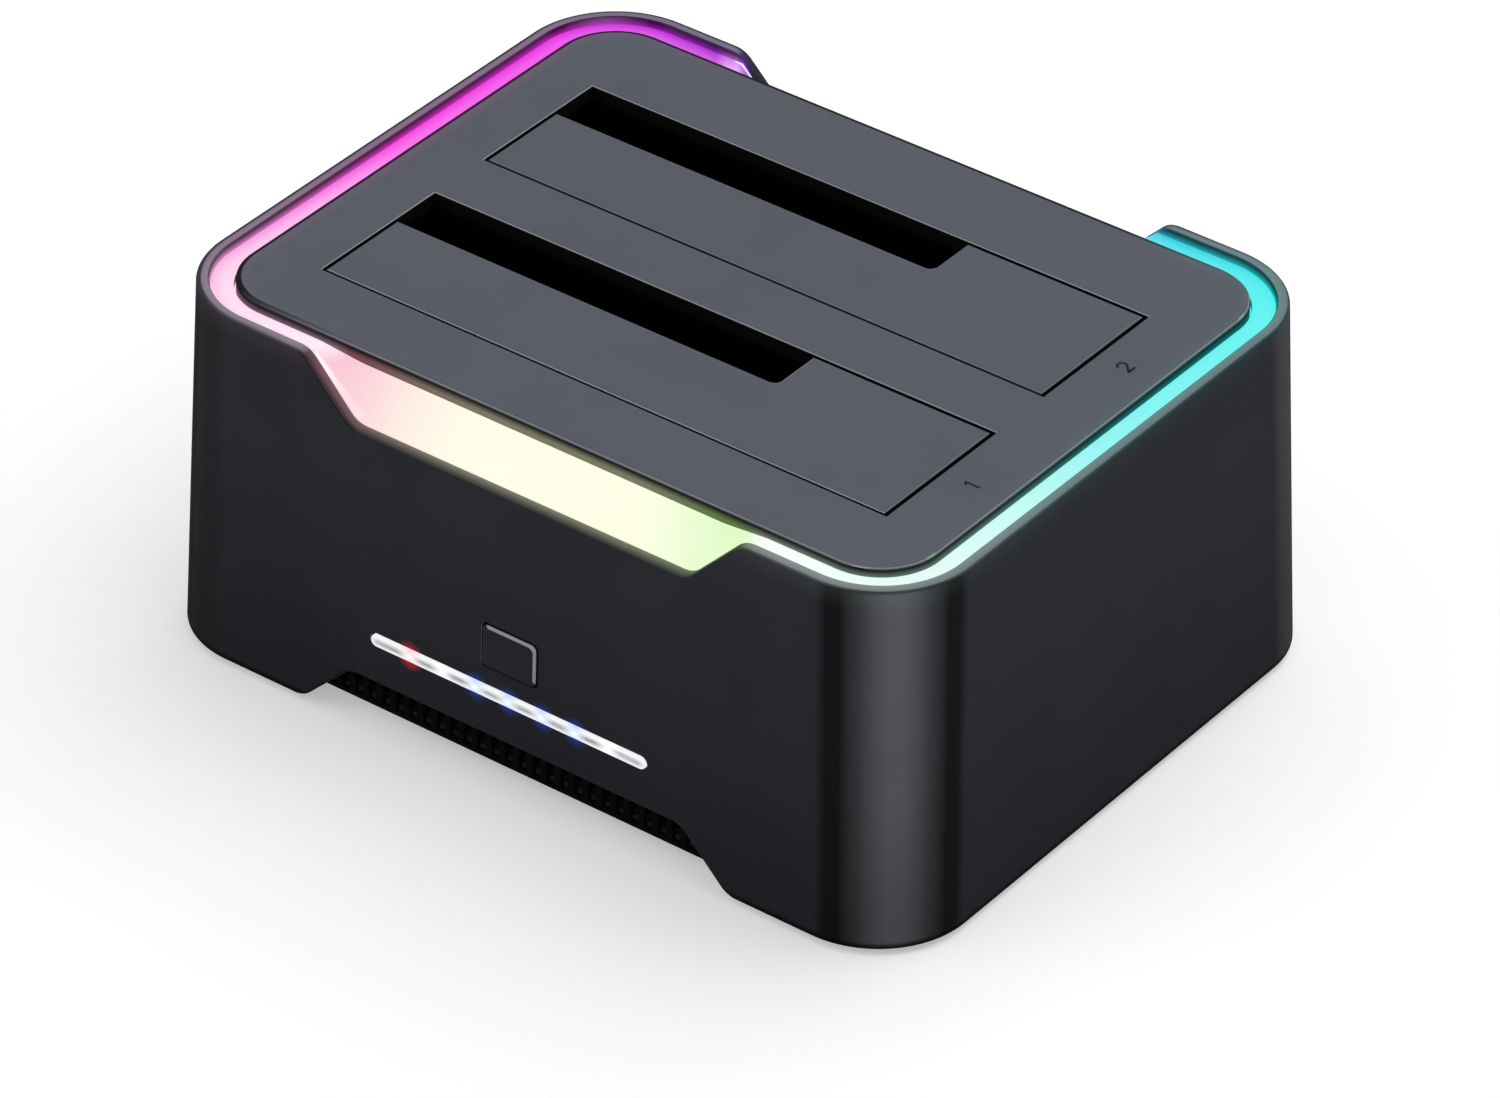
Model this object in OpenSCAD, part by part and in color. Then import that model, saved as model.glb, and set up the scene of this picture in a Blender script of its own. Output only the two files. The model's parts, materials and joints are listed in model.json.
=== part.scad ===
// Two-bay hard drive docking station with a lit rim.
// +X runs along the front to the right, +Y points to the back, +Z is up, and the feet stand on z = 0.

/* [Shell] */
// Width of the shell across its top rim
top_w = 138; // [136:0.5:148]
// Depth of the shell across its top rim
top_d = 106.8; // [105:0.2:116]
// Height of the shell from its lower edge to its rim
shell_h = 61; // [60:0.5:68]
// How far each wall leans out between the rim and the lower edge
draft = 2.3; // [1:0.1:4]
// Radius of the upright corners
corner_r = 16; // [13:0.5:19]
// Thickness of the walls
wall = 1.9; // [1.6:0.1:2.4]
// Height of the lower edge above the table
lift = 1; // [0.5:0.1:2]

/* [Notches and arches] */
// Width of the front and back notches at the rim
notch_w = 80; // [60:1:90]
// Depth of the notches
notch_h = 9.3; // [8:0.1:10]
// Sideways run of each notch's sloping ends
notch_run = 9; // [7:0.5:12]
// Width of the front and back arches at the lower edge
arch_w = 80; // [60:1:90]
// Height of the arches
arch_h = 8.7; // [7:0.1:9.5]
// Sideways run of each arch's sloping ends
arch_run = 9; // [7:0.5:12]
// Rounding of the corners of notches and arches
notch_r = 4; // [2:0.5:5]

/* [Top plate and light] */
// Thickness of the top plate
plate_t = 2.5; // [2.3:0.1:3.5]
// Bevel round the top plate
plate_bevel = 0.5; // [0.2:0.1:0.8]
// Width of the lit strip between plate and rim
light_gap = 3.95; // [3:0.05:5]
// How far the lit strip lies below the plate
light_drop = 1.3; // [0.8:0.1:2]
// Thickness of the light strip where the plate rests on it
band_t = 2.5; // [2:0.1:3.5]
// How far the light strip reaches under the plate
band_lap = 3; // [2:0.1:3.5]
// Running gap between light strip, plate and shell
light_fit = 0.1; // [0.05:0.05:0.3]
// Height of the top edge of the windows below the plate
window_drop = 2; // [1.5:0.1:2.2]
// Height of the room for the lights under the strip
light_room = 3; // [2.8:0.1:4]
// Thickness of the shelf that carries the side light boards
shelf_t = 2; // [1.5:0.1:3]
// Width of the step that carries the light strip
step_w = 1; // [0.6:0.1:1.5]

/* [Bays] */
// Length of each bay opening
bay_l = 104; // [102.5:0.5:106]
// Width of each bay opening
bay_w = 26.6; // [26.4:0.1:28]
// Distance between the two bays
bay_pitch = 38.3; // [37.5:0.1:39.5]
// Place of the middle between the bays, behind the middle of the body
bay_mid = -2.1; // [-2.8:0.1:-1.4]
// Depth of each bay below the plate's top
bay_depth = 45; // [43:0.5:46]
// Length of the slot for a small drive
small_l = 71.6; // [71:0.1:74]
// Width of the slot for a small drive
small_w = 9.6; // [9.5:0.1:12]
// Clearance between a drive and its well
well_fit = 0.3; // [0.2:0.05:0.6]
// Thickness of the bay frame's walls
frame_wall = 1.5; // [1.2:0.1:2]
// Thickness of the bay floors
floor_t = 2; // [1.5:0.1:3]

/* [Flaps and hinges] */
// Thickness of the flaps
flap_t = 2; // [1.6:0.1:2.4]
// Gap at the ends of a flap
flap_gap = 0.5; // [0.3:0.05:0.8]
// Gap along a flap's hinged edge
hinge_gap = 0.25; // [0.15:0.05:0.5]
// Least gap between a swinging flap's far edge and its opening
swing_gap = 0.15; // [0.1:0.05:0.3]
// Radius of the flap's hinge knuckles
knuckle_r = 2; // [1.8:0.1:2.4]
// Radius of the hinge pins
pin_r = 1; // [0.8:0.1:1.2]
// Running clearance of a knuckle on its pin
pin_fit = 0.05; // [0.02:0.01:0.1]
// Gap between a knuckle and the plate above it
hinge_clear = 0.3; // [0.2:0.05:0.6]
// Width of each hinge arm
arm_w = 7; // [5:0.5:9]
// Distance of the outer hinge arms from the middle
arm_x = 40; // [32:1:42]
// Diameter of the flap spring's wire
wire_d = 0.5; // [0.4:0.05:0.6]
// Turns of the flap spring
spring_turns = 4; // [3:1:5]

/* [Front panel] */
// Place of the button and the light bar along the front
panel_x = -0.7; // [-6:0.1:6]
// Height of the light bar above the table
bar_z = 17.4; // [16.5:0.1:20]
// Length of the light bar
bar_l = 52.4; // [46:0.2:60]
// Height of the light bar
bar_h = 2.5; // [2:0.1:3.5]
// How far the light bar stands out of the wall
bar_proud = 0.25; // [0.1:0.05:0.5]
// Spacing of the lights behind the bar
lamp_pitch = 6.2; // [5.5:0.1:6.8]
// Number of lights behind the bar
lamp_count = 7; // [5:1:7]
// Height of the button above the light bar
button_up = 8.2; // [7.5:0.1:10]
// Width of the button's opening
button_w = 10.5; // [9:0.1:14]
// Height of the button's opening
button_h = 7.8; // [7:0.1:9]
// How far the button stands out of the wall
button_proud = 0.7; // [0.5:0.1:0.8]
// Travel of the button
button_travel = 0.8; // [0.5:0.1:1]
// Clearance round the button and the light bar
panel_fit = 0.2; // [0.1:0.05:0.3]
// Distance from the wall's face to the indicator board
panel_depth = 7.5; // [7.2:0.1:7.9]

/* [Base and boards] */
// Height of the base plate's underside above the shell's lower edge
base_up = 2; // [1.5:0.1:2.5]
// Thickness of the base plate
base_t = 2; // [1.8:0.1:3]
// Gap between the base plate and the shell
base_gap = 0.3; // [0.2:0.05:0.6]
// Distance from the wall's face to the grilles
grille_in = 3; // [2.6:0.1:4]
// Thickness of the grilles
grille_t = 1.6; // [1.2:0.1:2]
// Height of the grilles
grille_h = 9; // [8:0.5:10]
// Spacing of the grilles' slots
grille_pitch = 2.6; // [2.2:0.1:4]
// Width of the grilles' slots
grille_slot = 1.2; // [0.8:0.1:1.5]
// Radius of the feet
foot_r = 5; // [4:0.5:6]
// Depth of the feet's seats in the base plate
foot_seat = 0.8; // [0.5:0.1:1]
// Height of the posts under the main board
post_h = 4; // [3.5:0.1:5]
// Thickness of the circuit boards
board_t = 1.6; // [1.2:0.1:2]
// Width of the main board
board_w = 84; // [82:1:86]
// Place of the main board's front edge
board_front = -38; // [-39:0.5:-36]
// Place of the main board's back edge
board_back = 47; // [45:0.5:48]
// How far the drive connectors stand above the bay floors
connector_up = 4.6; // [4:0.2:8]
// Length of the drive connectors
connector_l = 42; // [38:1:44]
// Place of the drive connectors along the front
connector_x = -25; // [-28:0.5:-20]
// Distance from a bay's back edge to its connector
connector_in = 5; // [4.5:0.1:6]

/* [Back panel] */
// Place of the power jack along the back
jack_x = -28; // [-30:0.5:-22]
// Place of the data socket along the back
socket_x = -6; // [-10:0.5:4]
// Place of the power switch along the back
switch_x = 28; // [18:0.5:34]
// Height of the power switch above the table
switch_z = 40; // [34:0.5:41]
// Tilt of the power rocker to either side
rocker_tilt = 8; // [5:1:9]

/* [Screws] */
// Radius of the screws' shanks
screw_r = 1.4; // [1.2:0.1:1.5]
// Clearance between a shank and its pilot hole
screw_fit = 0.05; // [0.03:0.01:0.1]
// Radius of the screw bosses
boss_r = 3.5; // [3:0.1:4]

/* [Hidden] */
$fn = 64;
eps = 0.01;                       // overlap that keeps cuts clean
lean = atan(draft / shell_h);     // lean of the walls, in degrees
top_z = lift + shell_h;
notch_z = top_z - notch_h;

// Half width and half depth of the shell's outside at height z
function half_w(z) = top_w / 2 + draft * (top_z - z) / shell_h;
function half_d(z) = top_d / 2 + draft * (top_z - z) / shell_h;

// Top plate, light strip and the ledges that carry them
rim_w = top_w / 2 - wall;
rim_d = top_d / 2 - wall;
plate_w = top_w / 2 - wall - light_gap;
plate_d = top_d / 2 - wall - light_gap;
plate_r = corner_r - wall - light_gap;
plate_low = top_z - plate_t;
strip_z = top_z - light_drop;
band_low = plate_low - band_t;
shelf_top = band_low - light_room;
shelf_low = shelf_top - shelf_t;
strip_end = notch_w / 2 + 1;      // where the side strips stop and the windows begin
window_end = notch_w / 2 - notch_run;
window_tuck = 2;                  // how far a window reaches down behind the wall
window_sink = 0.2;                // how far a window's face lies below the notch's edge
recess_low = notch_z - window_tuck - 1;
ledge_top = recess_low - 1.7;     // ledge under each window's light board
ledge_t = 2;
ledge_reach = 7.5;

// Lights under the strip and behind the windows
lamp_w = 3.2;
lamp_t = 1.4;
light_board_t = 1;
side_board_w = rim_w - step_w - (plate_w - band_lap) - 1.3;
side_board_x = plate_w - band_lap + 1 + side_board_w / 2;
side_board_l = 2 * (plate_d - plate_r - 2);
side_lamp_count = 8;
side_lamp_pitch = (side_board_l - 2 * lamp_w) / (side_lamp_count - 1);
window_board_y = rim_d - ledge_reach + 0.5;
window_board_w = 2 * window_end - 2;
window_board_h = 7.5;
window_lamp_count = 6;
window_lamp_pitch = (window_board_w - 2 * lamp_w) / (window_lamp_count - 1);
lead_w = 3;
lead_t = 0.8;
lead_y = 2 * side_lamp_pitch;     // the lead ends between two lights

// Hinges
hinge_drop = plate_t + knuckle_r + hinge_clear;
hinge_z = top_z - hinge_drop;
open_gap = 0.3;                   // gap between a wide-open flap and the line of its opening
hinge_back = hinge_drop - open_gap;
flap_reach = sqrt(pow(bay_w + hinge_back - swing_gap, 2) - pow(hinge_drop, 2));
well_front = knuckle_r + 0.5;     // room in front of the hinge axis
coil_r = pin_r + 0.3 + wire_d / 2;
wire_pitch = wire_d + 0.2;
wire_leg = 6;
well_x = bay_l / 2 + well_fit;
function bay_y(i) = bay_mid + (i - 0.5) * bay_pitch;
function bay_front(i) = bay_y(i) - bay_w / 2;
function bay_rear(i) = bay_y(i) + bay_w / 2;
function hinge_y(i) = bay_front(i) - hinge_back;

// Bay frame
floor_top = top_z - bay_depth;
floor_low = floor_top - floor_t;
frame_front = hinge_y(0) - well_front - frame_wall;
frame_rear = bay_rear(1) + well_fit + frame_wall;
frame_x = well_x + frame_wall;
tab_r = 2.5;
tab_t = 2;
tab_x = frame_x + tab_r + 0.7;
tab_ys = [-30, 0, 30];
tab_top = plate_low - 5;
pin_press = 0.02;                 // clearance of a hinge pin in the frame's walls

// Base, feet and boards
base_z = lift + base_up;
base_top = base_z + base_t;
board_low = base_top + post_h;
board_top = board_low + board_t;
base_w = half_w(base_top) - wall - base_gap;
base_d = half_d(base_top) - wall - base_gap;
grille_y = half_d(lift + arch_h) - grille_in;
grille_w = arch_w + 8;
grille_edge = 1.2;                // solid edge above and below the slots
rear_grille_h = board_top - base_top;
vent_l = 22;
vent_h = 2.5;
vent_x = 20;
vent_pitch = 6;
foot_x = top_w / 2 - 15;
foot_y = top_d / 2 - 13.4;
boss_wall = 1.2;                  // gap between a boss and the corner behind it, bridged by a rib
boss_out = (corner_r - wall + sqrt(2) * (half_w(base_top) - top_w / 2) - boss_r - boss_wall) / sqrt(2);
boss_x = top_w / 2 - corner_r + boss_out;
boss_y = top_d / 2 - corner_r + boss_out;
boss_h = 15;
rib_t = 2.4;
leg_x = board_w / 2 + boss_r + 2.5;
leg_ys = [-26, 10];
post_x = board_w / 2 - 4;
post_ys = [board_front + 4, board_back - 4];
post_r = 3;
pilot_r = screw_r + screw_fit;
screw_free = 0.2;                 // clearance of a shank in the piece it passes through
sink_h = 1.4;                     // height of the countersunk heads
sink_r = screw_r + 1.5;
small_screw_r = 1.1;
small_pilot_r = small_screw_r + screw_fit;
small_pilot_h = 4;
connector_t = 6.4;
connector_h = floor_top + connector_up - board_top;
blade_h = 6;                      // depth and width of the slot for a drive's blade
blade_t = 2.6;
contact_count = 22;
contact_pitch = 1.27;
blade_l = contact_count * contact_pitch + 3;

// Front panel, in the wall's own frame with z = 0 on its face and +z outwards
led_w = 2.6;
led_t = 1.6;
led_h = 1.2;
bar_flange = 1;                   // thickness and reach of the flange behind the light bar
panel_board_w = bar_l + 24;
panel_low = -bar_h / 2 - 4;
panel_high = button_up + button_h / 2 + 2;
panel_post_x = bar_l / 2 + 8;
panel_post_y = 4;
button_lip = 0.9;
button_back = wall + 0.3 + button_lip;
switch_h = 2.9;
plunger_r = 1.5;
plunger_in = 1.3;
plug_h = 2.4;                     // ribbon sockets
plug_d = 4;
ribbon_w = 10;
ribbon_t = 0.4;
panel_back_y = -half_d(bar_z) + (panel_depth + board_t) / cos(lean);

// Back panel
port_h = 11;
jack_w = 9;
socket_w = 12;
port_z = board_top + port_h / 2;
port_face = half_d(port_z) - wall - 0.3;
port_fit = 0.2;                   // clearance between a port's collar and the wall
jack_bore = 3;
jack_pin = 1;
collar_in = 0.7;                  // step from a port's body to the wall's opening
bezel_t = 0.8;
rocker_l = 11.4;
rocker_h = 7;
rocker_t = 3.2;
rocker_pivot = -2.7;
rocker_stub = 0.75;
switch_body = 9;
switch_rim = 1.6;                 // walls of the switch housing at the rocker's ends
switch_side = 1.2;

// Unit vector along v
function unit(v) = v / norm(v);

// Points of the arc of radius r that rounds the corner b between a and c
function fillet(a, b, c, r, n = 6) =
    let (u = unit(a - b), v = unit(c - b), half = acos(u * v) / 2)
    let (m = b + unit(u + v) * r / sin(half), p = b + u * r / tan(half) - m, q = b + v * r / tan(half) - m)
    let (from = atan2(p.y, p.x), sweep = (atan2(q.y, q.x) - from + 540) % 360 - 180)
    [for (i = [0:n]) m + r * [cos(from + sweep * i / n), sin(from + sweep * i / n)]];

// Faces of a tube of rings with the same number of points, closed at both ends
function tube_faces(rings, sides) = concat(
    [[for (j = [0:sides - 1]) j]],
    [for (i = [0:rings - 2], j = [0:sides - 1])
        let (k = (j + 1) % sides) [i * sides + j, (i + 1) * sides + j, (i + 1) * sides + k]],
    [for (i = [0:rings - 2], j = [0:sides - 1])
        let (k = (j + 1) % sides) [i * sides + j, (i + 1) * sides + k, i * sides + k]],
    [[for (j = [sides - 1:-1:0]) (rings - 1) * sides + j]]);

// Points on one side of a path, for a ribbon of even thickness
function ribbon_side(p, s) = [for (i = [0:len(p) - 1])
    let (d = unit(p[min(i + 1, len(p) - 1)] - p[max(i - 1, 0)])) p[i] + s * [-d.y, d.x]];

module ribbon(p, t)
    polygon(concat(ribbon_side(p, t / 2), [for (i = [len(p) - 1:-1:0]) ribbon_side(p, -t / 2)[i]]));

// Trapezoid gap with rounded corners, open upwards from y = 0 and h deep
module gap_outline(w, h, run, r) {
    a = [-w / 2, 0];
    b = [-w / 2 + run, -h];
    left = concat(fillet([-w, 0], a, b, r), fillet(a, b, [0, -h], r));
    right = [for (i = [len(left) - 1:-1:0]) [-left[i].x, left[i].y]];
    polygon(concat([[left[0].x, r]], left, right, [[right[len(right) - 1].x, r]]));
}

// Rounded rectangle with half width w, half depth d and corner radius r
module rounded(w, d, r) {
    square([2 * (w - r), 2 * d], center = true);
    square([2 * w, 2 * (d - r)], center = true);
    for (x = [-1, 1], y = [-1, 1])
        translate([x * (w - r), y * (d - r)]) circle(r);
}

module slab(w, d, r, low, high)
    translate([0, 0, low]) linear_extrude(high - low) rounded(w, d, r);

// Rounded slab from z = 0 to t whose top edge has a bevel c
module bevel_slab(w, d, r, t, c) {
    slab(w, d, r, 0, t - c);
    for (x = [-1, 1], y = [-1, 1])
        translate([x * (w - r), y * (d - r), t - c]) cylinder(r1 = r, r2 = r - c, h = c);
    rotate([90, 0, 0]) linear_extrude(2 * (d - r), center = true)
        polygon([[-w, t - c], [w, t - c], [w - c, t], [-w + c, t]]);
    rotate([90, 0, 90]) linear_extrude(2 * (w - r), center = true)
        polygon([[-d, t - c], [d, t - c], [d - c, t], [-d + c, t]]);
}

// Bar with round ends, l long and h high
module stadium(l, h) {
    square([l - h, h], center = true);
    for (x = [-1, 1]) translate([x * (l - h) / 2, 0]) circle(h / 2);
}

// Leaning block with the shell's outline, inset by a wall
module shell_block(inset, low, high)
    hull()
        for (z = [low, high], x = [-1, 1], y = [-1, 1])
            translate([x * (half_w(z) - corner_r), y * (half_d(z) - corner_r), z == low ? low : high - eps])
                cylinder(r = corner_r - inset, h = eps);

// Frame of the front or back wall's face at height z: +z outwards, +y up the wall
module on_front(x, z)
    translate([x, -half_d(z), z]) rotate([90 - lean, 0, 0]) children();

module on_back(x, z)
    translate([x, half_d(z), z]) rotate([90 - lean, 0, 180]) children();

// Children at the front and turned round to the back
module both_ends()
    for (a = [0, 180]) rotate([0, 0, a]) children();

module corners(x, y)
    for (i = [-1, 1], j = [-1, 1]) translate([i * x, j * y, 0]) children();

module outer_shell()
    color("#26272b")
    difference() {
        union() {
            difference() {
                shell_block(0, lift, top_z);
                shell_block(wall, lift - 1, shelf_low);
                slab(plate_w - band_lap, plate_d - band_lap, plate_r - band_lap,
                    shelf_low - 1, shelf_top + eps);
                slab(rim_w - step_w, rim_d - step_w, corner_r - wall - step_w, shelf_top, band_low + eps);
                slab(rim_w, rim_d, corner_r - wall, band_low, top_z + 1);
                both_ends() translate([-strip_end - 1, -rim_d, recess_low])
                    cube([2 * strip_end + 2, rim_d - plate_d + band_lap + 1, top_z]);
            }
            for (x = [-1, 1], y = [-1, 1])
                translate([x * boss_x, y * boss_y, base_top]) {
                    cylinder(r = boss_r, h = boss_h);
                    rotate([0, 0, atan2(y, x)]) translate([0, -rib_t / 2, 0])
                        cube([boss_r + boss_wall + wall / 2, rib_t, boss_h]);
                }
            both_ends() translate([-window_end, -rim_d - wall / 2, ledge_top - ledge_t])
                cube([2 * window_end, ledge_reach + wall / 2, ledge_t]);
            on_front(panel_x, bar_z)
                for (x = [-1, 1]) translate([x * panel_post_x, panel_post_y, -panel_depth])
                    cylinder(r = post_r, h = panel_depth - wall / 2);
        }
        both_ends() {
            translate([0, 0, top_z]) rotate([90, 0, 0])
                linear_extrude(top_d) gap_outline(notch_w, notch_h, notch_run, notch_r);
            translate([0, 0, lift]) rotate([90, 0, 0])
                linear_extrude(top_d) mirror([0, 1]) gap_outline(arch_w, arch_h, arch_run, notch_r);
        }
        corners(boss_x, boss_y) translate([0, 0, base_top - 1]) cylinder(r = pilot_r, h = boss_h - 1);
        on_front(panel_x, bar_z) {
            translate([0, 0, -wall - 1]) linear_extrude(wall + 2)
                stadium(bar_l + 2 * panel_fit, bar_h + 2 * panel_fit);
            translate([0, button_up, 0]) slab(button_w / 2, button_h / 2, 1, -wall - 1, 1);
            for (x = [-1, 1]) translate([x * panel_post_x, panel_post_y, -panel_depth - 1])
                cylinder(r = small_pilot_r, h = small_pilot_h + 1);
        }
        translate([jack_x, port_face - 1, port_z]) rotate([-90, 0, 0])
            cylinder(r = jack_w / 2 - collar_in + port_fit, h = wall + 6);
        translate([socket_x - socket_w / 2 + collar_in, port_face - 1, board_top + collar_in])
            cube([socket_w - 2 * collar_in, wall + 6, port_h - 2 * collar_in]);
        on_back(switch_x, switch_z)
            slab(rocker_l / 2 + switch_rim + panel_fit, rocker_h / 2 + switch_side + panel_fit, 0.8,
                -wall - 1, 1);
    }

module top_plate()
    color("#585b62")
    difference() {
        union() {
            translate([0, 0, plate_low]) bevel_slab(plate_w, plate_d, plate_r, plate_t, plate_bevel);
            for (x = [-1, 1], y = tab_ys)
                translate([x * tab_x, y, tab_top]) cylinder(r = tab_r, h = plate_low - tab_top + eps);
        }
        for (i = [0, 1])
            translate([-bay_l / 2, bay_front(i), plate_low - 1]) cube([bay_l, bay_w, plate_t + 2]);
        for (x = [-1, 1], y = tab_ys)
            translate([x * tab_x, y, tab_top - 1]) cylinder(r = small_pilot_r, h = small_pilot_h + 1);
    }

// Light strip along one side of the plate and round its corners, on the shell's step
module light_strip(side)
    color("#f4f6f8")
    difference() {
        slab(rim_w - light_fit, rim_d - light_fit, corner_r - wall - light_fit, band_low, strip_z);
        slab(plate_w + light_fit, plate_d + light_fit, plate_r + light_fit, plate_low, strip_z + 1);
        slab(plate_w - band_lap, plate_d - band_lap, plate_r - band_lap, band_low - 1, plate_low + eps);
        translate([side > 0 ? -top_w : -strip_end, -top_d, band_low - 1])
            cube([top_w + strip_end, 2 * top_d, top_z - band_low]);
    }

module left_light_strip() light_strip(-1);

module right_light_strip() light_strip(1);

// Section of a window across the front, as [distance from the middle, height]: the flat strip's section at
// blend 0 and the sloping window's section at blend 1
function window_section(blend) =
    let (edge = plate_d + light_fit, out = rim_d - light_fit)
    let (flat = [[edge, strip_z], [out, strip_z], [out, band_low]])
    let (slope = [[edge, top_z - window_drop], [out, notch_z - window_sink], [out, notch_z - window_tuck]])
    concat([[plate_d - band_lap, band_low], [plate_d - band_lap, plate_low], [edge, plate_low]],
        [for (i = [0:2]) flat[i] + blend * (slope[i] - flat[i])]);

module light_window()
    let (rings = [for (s = [[-strip_end, 0], [-window_end, 1], [window_end, 1], [strip_end, 0]])
        for (p = window_section(s[1])) [s[0], -p.x, p.y]])
    polyhedron(rings, tube_faces(4, 6));

module front_window()
    color("#fff4e6") light_window();

module rear_window()
    color("#e8f4ff") rotate([0, 0, 180]) light_window();

// L-shaped flap with three hinge arms that reach under the plate to the pin
module bay_flap(i) {
    front = bay_front(i) + hinge_gap;
    rear = hinge_y(i) + flap_reach;
    slot = bay_rear(i) - small_w;
    end = bay_l / 2 - flap_gap;
    low = top_z - flap_t;
    arm = [[hinge_y(i), hinge_z - knuckle_r], [front + 7, low + eps], [front, low + eps],
        [front, hinge_z + knuckle_r], [hinge_y(i), hinge_z + knuckle_r]];
    color("#575a61")
    difference() {
        union() {
            translate([0, 0, low]) linear_extrude(flap_t)
                polygon([[-end, front], [end, front], [end, rear], [small_l - bay_l / 2, rear],
                    [small_l - bay_l / 2, slot], [-end, slot]]);
            for (x = [-arm_x, 0, arm_x]) {
                translate([x - arm_w / 2, 0, 0]) rotate([90, 0, 90]) linear_extrude(arm_w) polygon(arm);
                translate([x - arm_w / 2, hinge_y(i), hinge_z]) rotate([0, 90, 0])
                    cylinder(r = knuckle_r, h = arm_w);
            }
        }
        translate([-end, hinge_y(i), hinge_z]) rotate([0, 90, 0])
            cylinder(r = pin_r + pin_fit, h = 2 * end);
    }
}

module front_bay_flap() bay_flap(0);

module rear_bay_flap() bay_flap(1);

module hinge_pin(i)
    color("#c8c8cc")
    translate([-frame_x, hinge_y(i), hinge_z]) rotate([0, 90, 0]) cylinder(r = pin_r, h = 2 * frame_x);

module front_hinge_pin() hinge_pin(0);

module rear_hinge_pin() hinge_pin(1);

// Torsion spring wound on the pin: one leg down the well's front wall, the other under the flap
module flap_spring(i) {
    length = (spring_turns + 0.25) * wire_pitch;
    x1 = -arm_x - arm_w / 2 - 1 - wire_d;
    x0 = x1 - length;
    coil = [for (t = [-90:30:360 * spring_turns])
        [x0 + wire_pitch * (t + 90) / 360, coil_r * sin(t), coil_r * cos(t)]];
    under = hinge_drop - flap_t - wire_d / 2;
    path = concat([[x0, -coil_r, -wire_leg]], coil,
        [[x1, hinge_back + 1, coil_r], [x1, hinge_back + wire_leg, under]]);
    last = len(path) - 1;
    sides = 6;
    rings = [for (k = [0:last])
        let (t = unit(path[min(k + 1, last)] - path[max(k - 1, 0)]))
        let (u = unit(cross(t, [1, 0, 0])), v = cross(t, u))
        for (j = [0:sides - 1])
            path[k] + wire_d / 2 * (u * cos(j * 360 / sides) + v * sin(j * 360 / sides))];
    color("#b8bac0")
    translate([0, hinge_y(i), hinge_z]) polyhedron(rings, tube_faces(len(path), sides));
}

module front_flap_spring() flap_spring(0);

module rear_flap_spring() flap_spring(1);

module bay_frame()
    color("#2e2f33")
    difference() {
        union() {
            translate([-frame_x, frame_front, floor_low])
                cube([2 * frame_x, frame_rear - frame_front, plate_low - floor_low]);
            for (x = [-1, 1], y = tab_ys) {
                translate([x * tab_x, y, tab_top - tab_t]) cylinder(r = tab_r, h = tab_t);
                translate([x * (frame_x + tab_x) / 2, y, tab_top - tab_t / 2])
                    cube([tab_x - frame_x + 1, 2 * tab_r, tab_t], center = true);
            }
            for (x = [-1, 1], y = leg_ys)
                translate([x * leg_x, y, base_top]) cylinder(r = boss_r, h = floor_top - base_top);
        }
        for (i = [0, 1]) {
            translate([-well_x, hinge_y(i) - well_front, floor_top])
                cube([2 * well_x, bay_rear(i) + well_fit - hinge_y(i) + well_front, bay_depth]);
            translate([connector_x, bay_rear(i) - connector_in, 0])
                slab(connector_l / 2 + 0.5, connector_t / 2 + 0.5, 1, floor_low - 1, floor_top + 1);
            translate([-frame_x - 1, hinge_y(i), hinge_z]) rotate([0, 90, 0])
                cylinder(r = pin_r + pin_press, h = 2 * frame_x + 2);
        }
        for (x = [-1, 1], y = tab_ys)
            translate([x * tab_x, y, tab_top - tab_t - 1])
                cylinder(r = small_screw_r + screw_free, h = tab_t + 2);
        for (x = [-1, 1], y = leg_ys)
            translate([x * leg_x, y, base_top - 1]) cylinder(r = pilot_r, h = floor_low - base_top);
    }

// Pan-head screw standing on z = 0 with its shank below, and a cross recess in the head
module pan_screw(r, length, head_r, head_h)
    difference() {
        union() {
            cylinder(r = head_r, h = head_h);
            translate([0, 0, -length]) cylinder(r = r, h = length + eps);
        }
        for (a = [0, 90]) rotate([0, 0, a])
            translate([-head_r * 0.6, -0.25, head_h - 0.7]) cube([head_r * 1.2, 0.5, 1]);
    }

module plate_screws()
    color("#8a8c92")
    for (x = [-1, 1], y = tab_ys)
        translate([x * tab_x, y, tab_top - tab_t]) rotate([180, 0, 0])
            pan_screw(small_screw_r, tab_t + small_pilot_h - 0.5, 2, 1.4);

module side_light_boards()
    color("#e9e9e4")
    for (x = [-1, 1])
        translate([x * side_board_x, 0, shelf_top + light_board_t / 2])
            cube([side_board_w, side_board_l, light_board_t], center = true);

module side_lights()
    color("#fffbe8")
    for (x = [-1, 1], i = [0:side_lamp_count - 1])
        translate([x * side_board_x, (i - (side_lamp_count - 1) / 2) * side_lamp_pitch,
            shelf_top + light_board_t + lamp_t / 2])
            cube([lamp_w, lamp_w, lamp_t], center = true);

module window_light_boards()
    color("#e9e9e4")
    both_ends() translate([-window_board_w / 2, -window_board_y - light_board_t, ledge_top])
        cube([window_board_w, light_board_t, window_board_h]);

module window_lights()
    color("#fffbe8")
    both_ends() for (i = [0:window_lamp_count - 1])
        translate([(i - (window_lamp_count - 1) / 2) * window_lamp_pitch,
            -window_board_y - light_board_t - lamp_t / 2, ledge_top + window_board_h / 2])
            cube([lamp_w, lamp_t, lamp_w], center = true);

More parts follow.
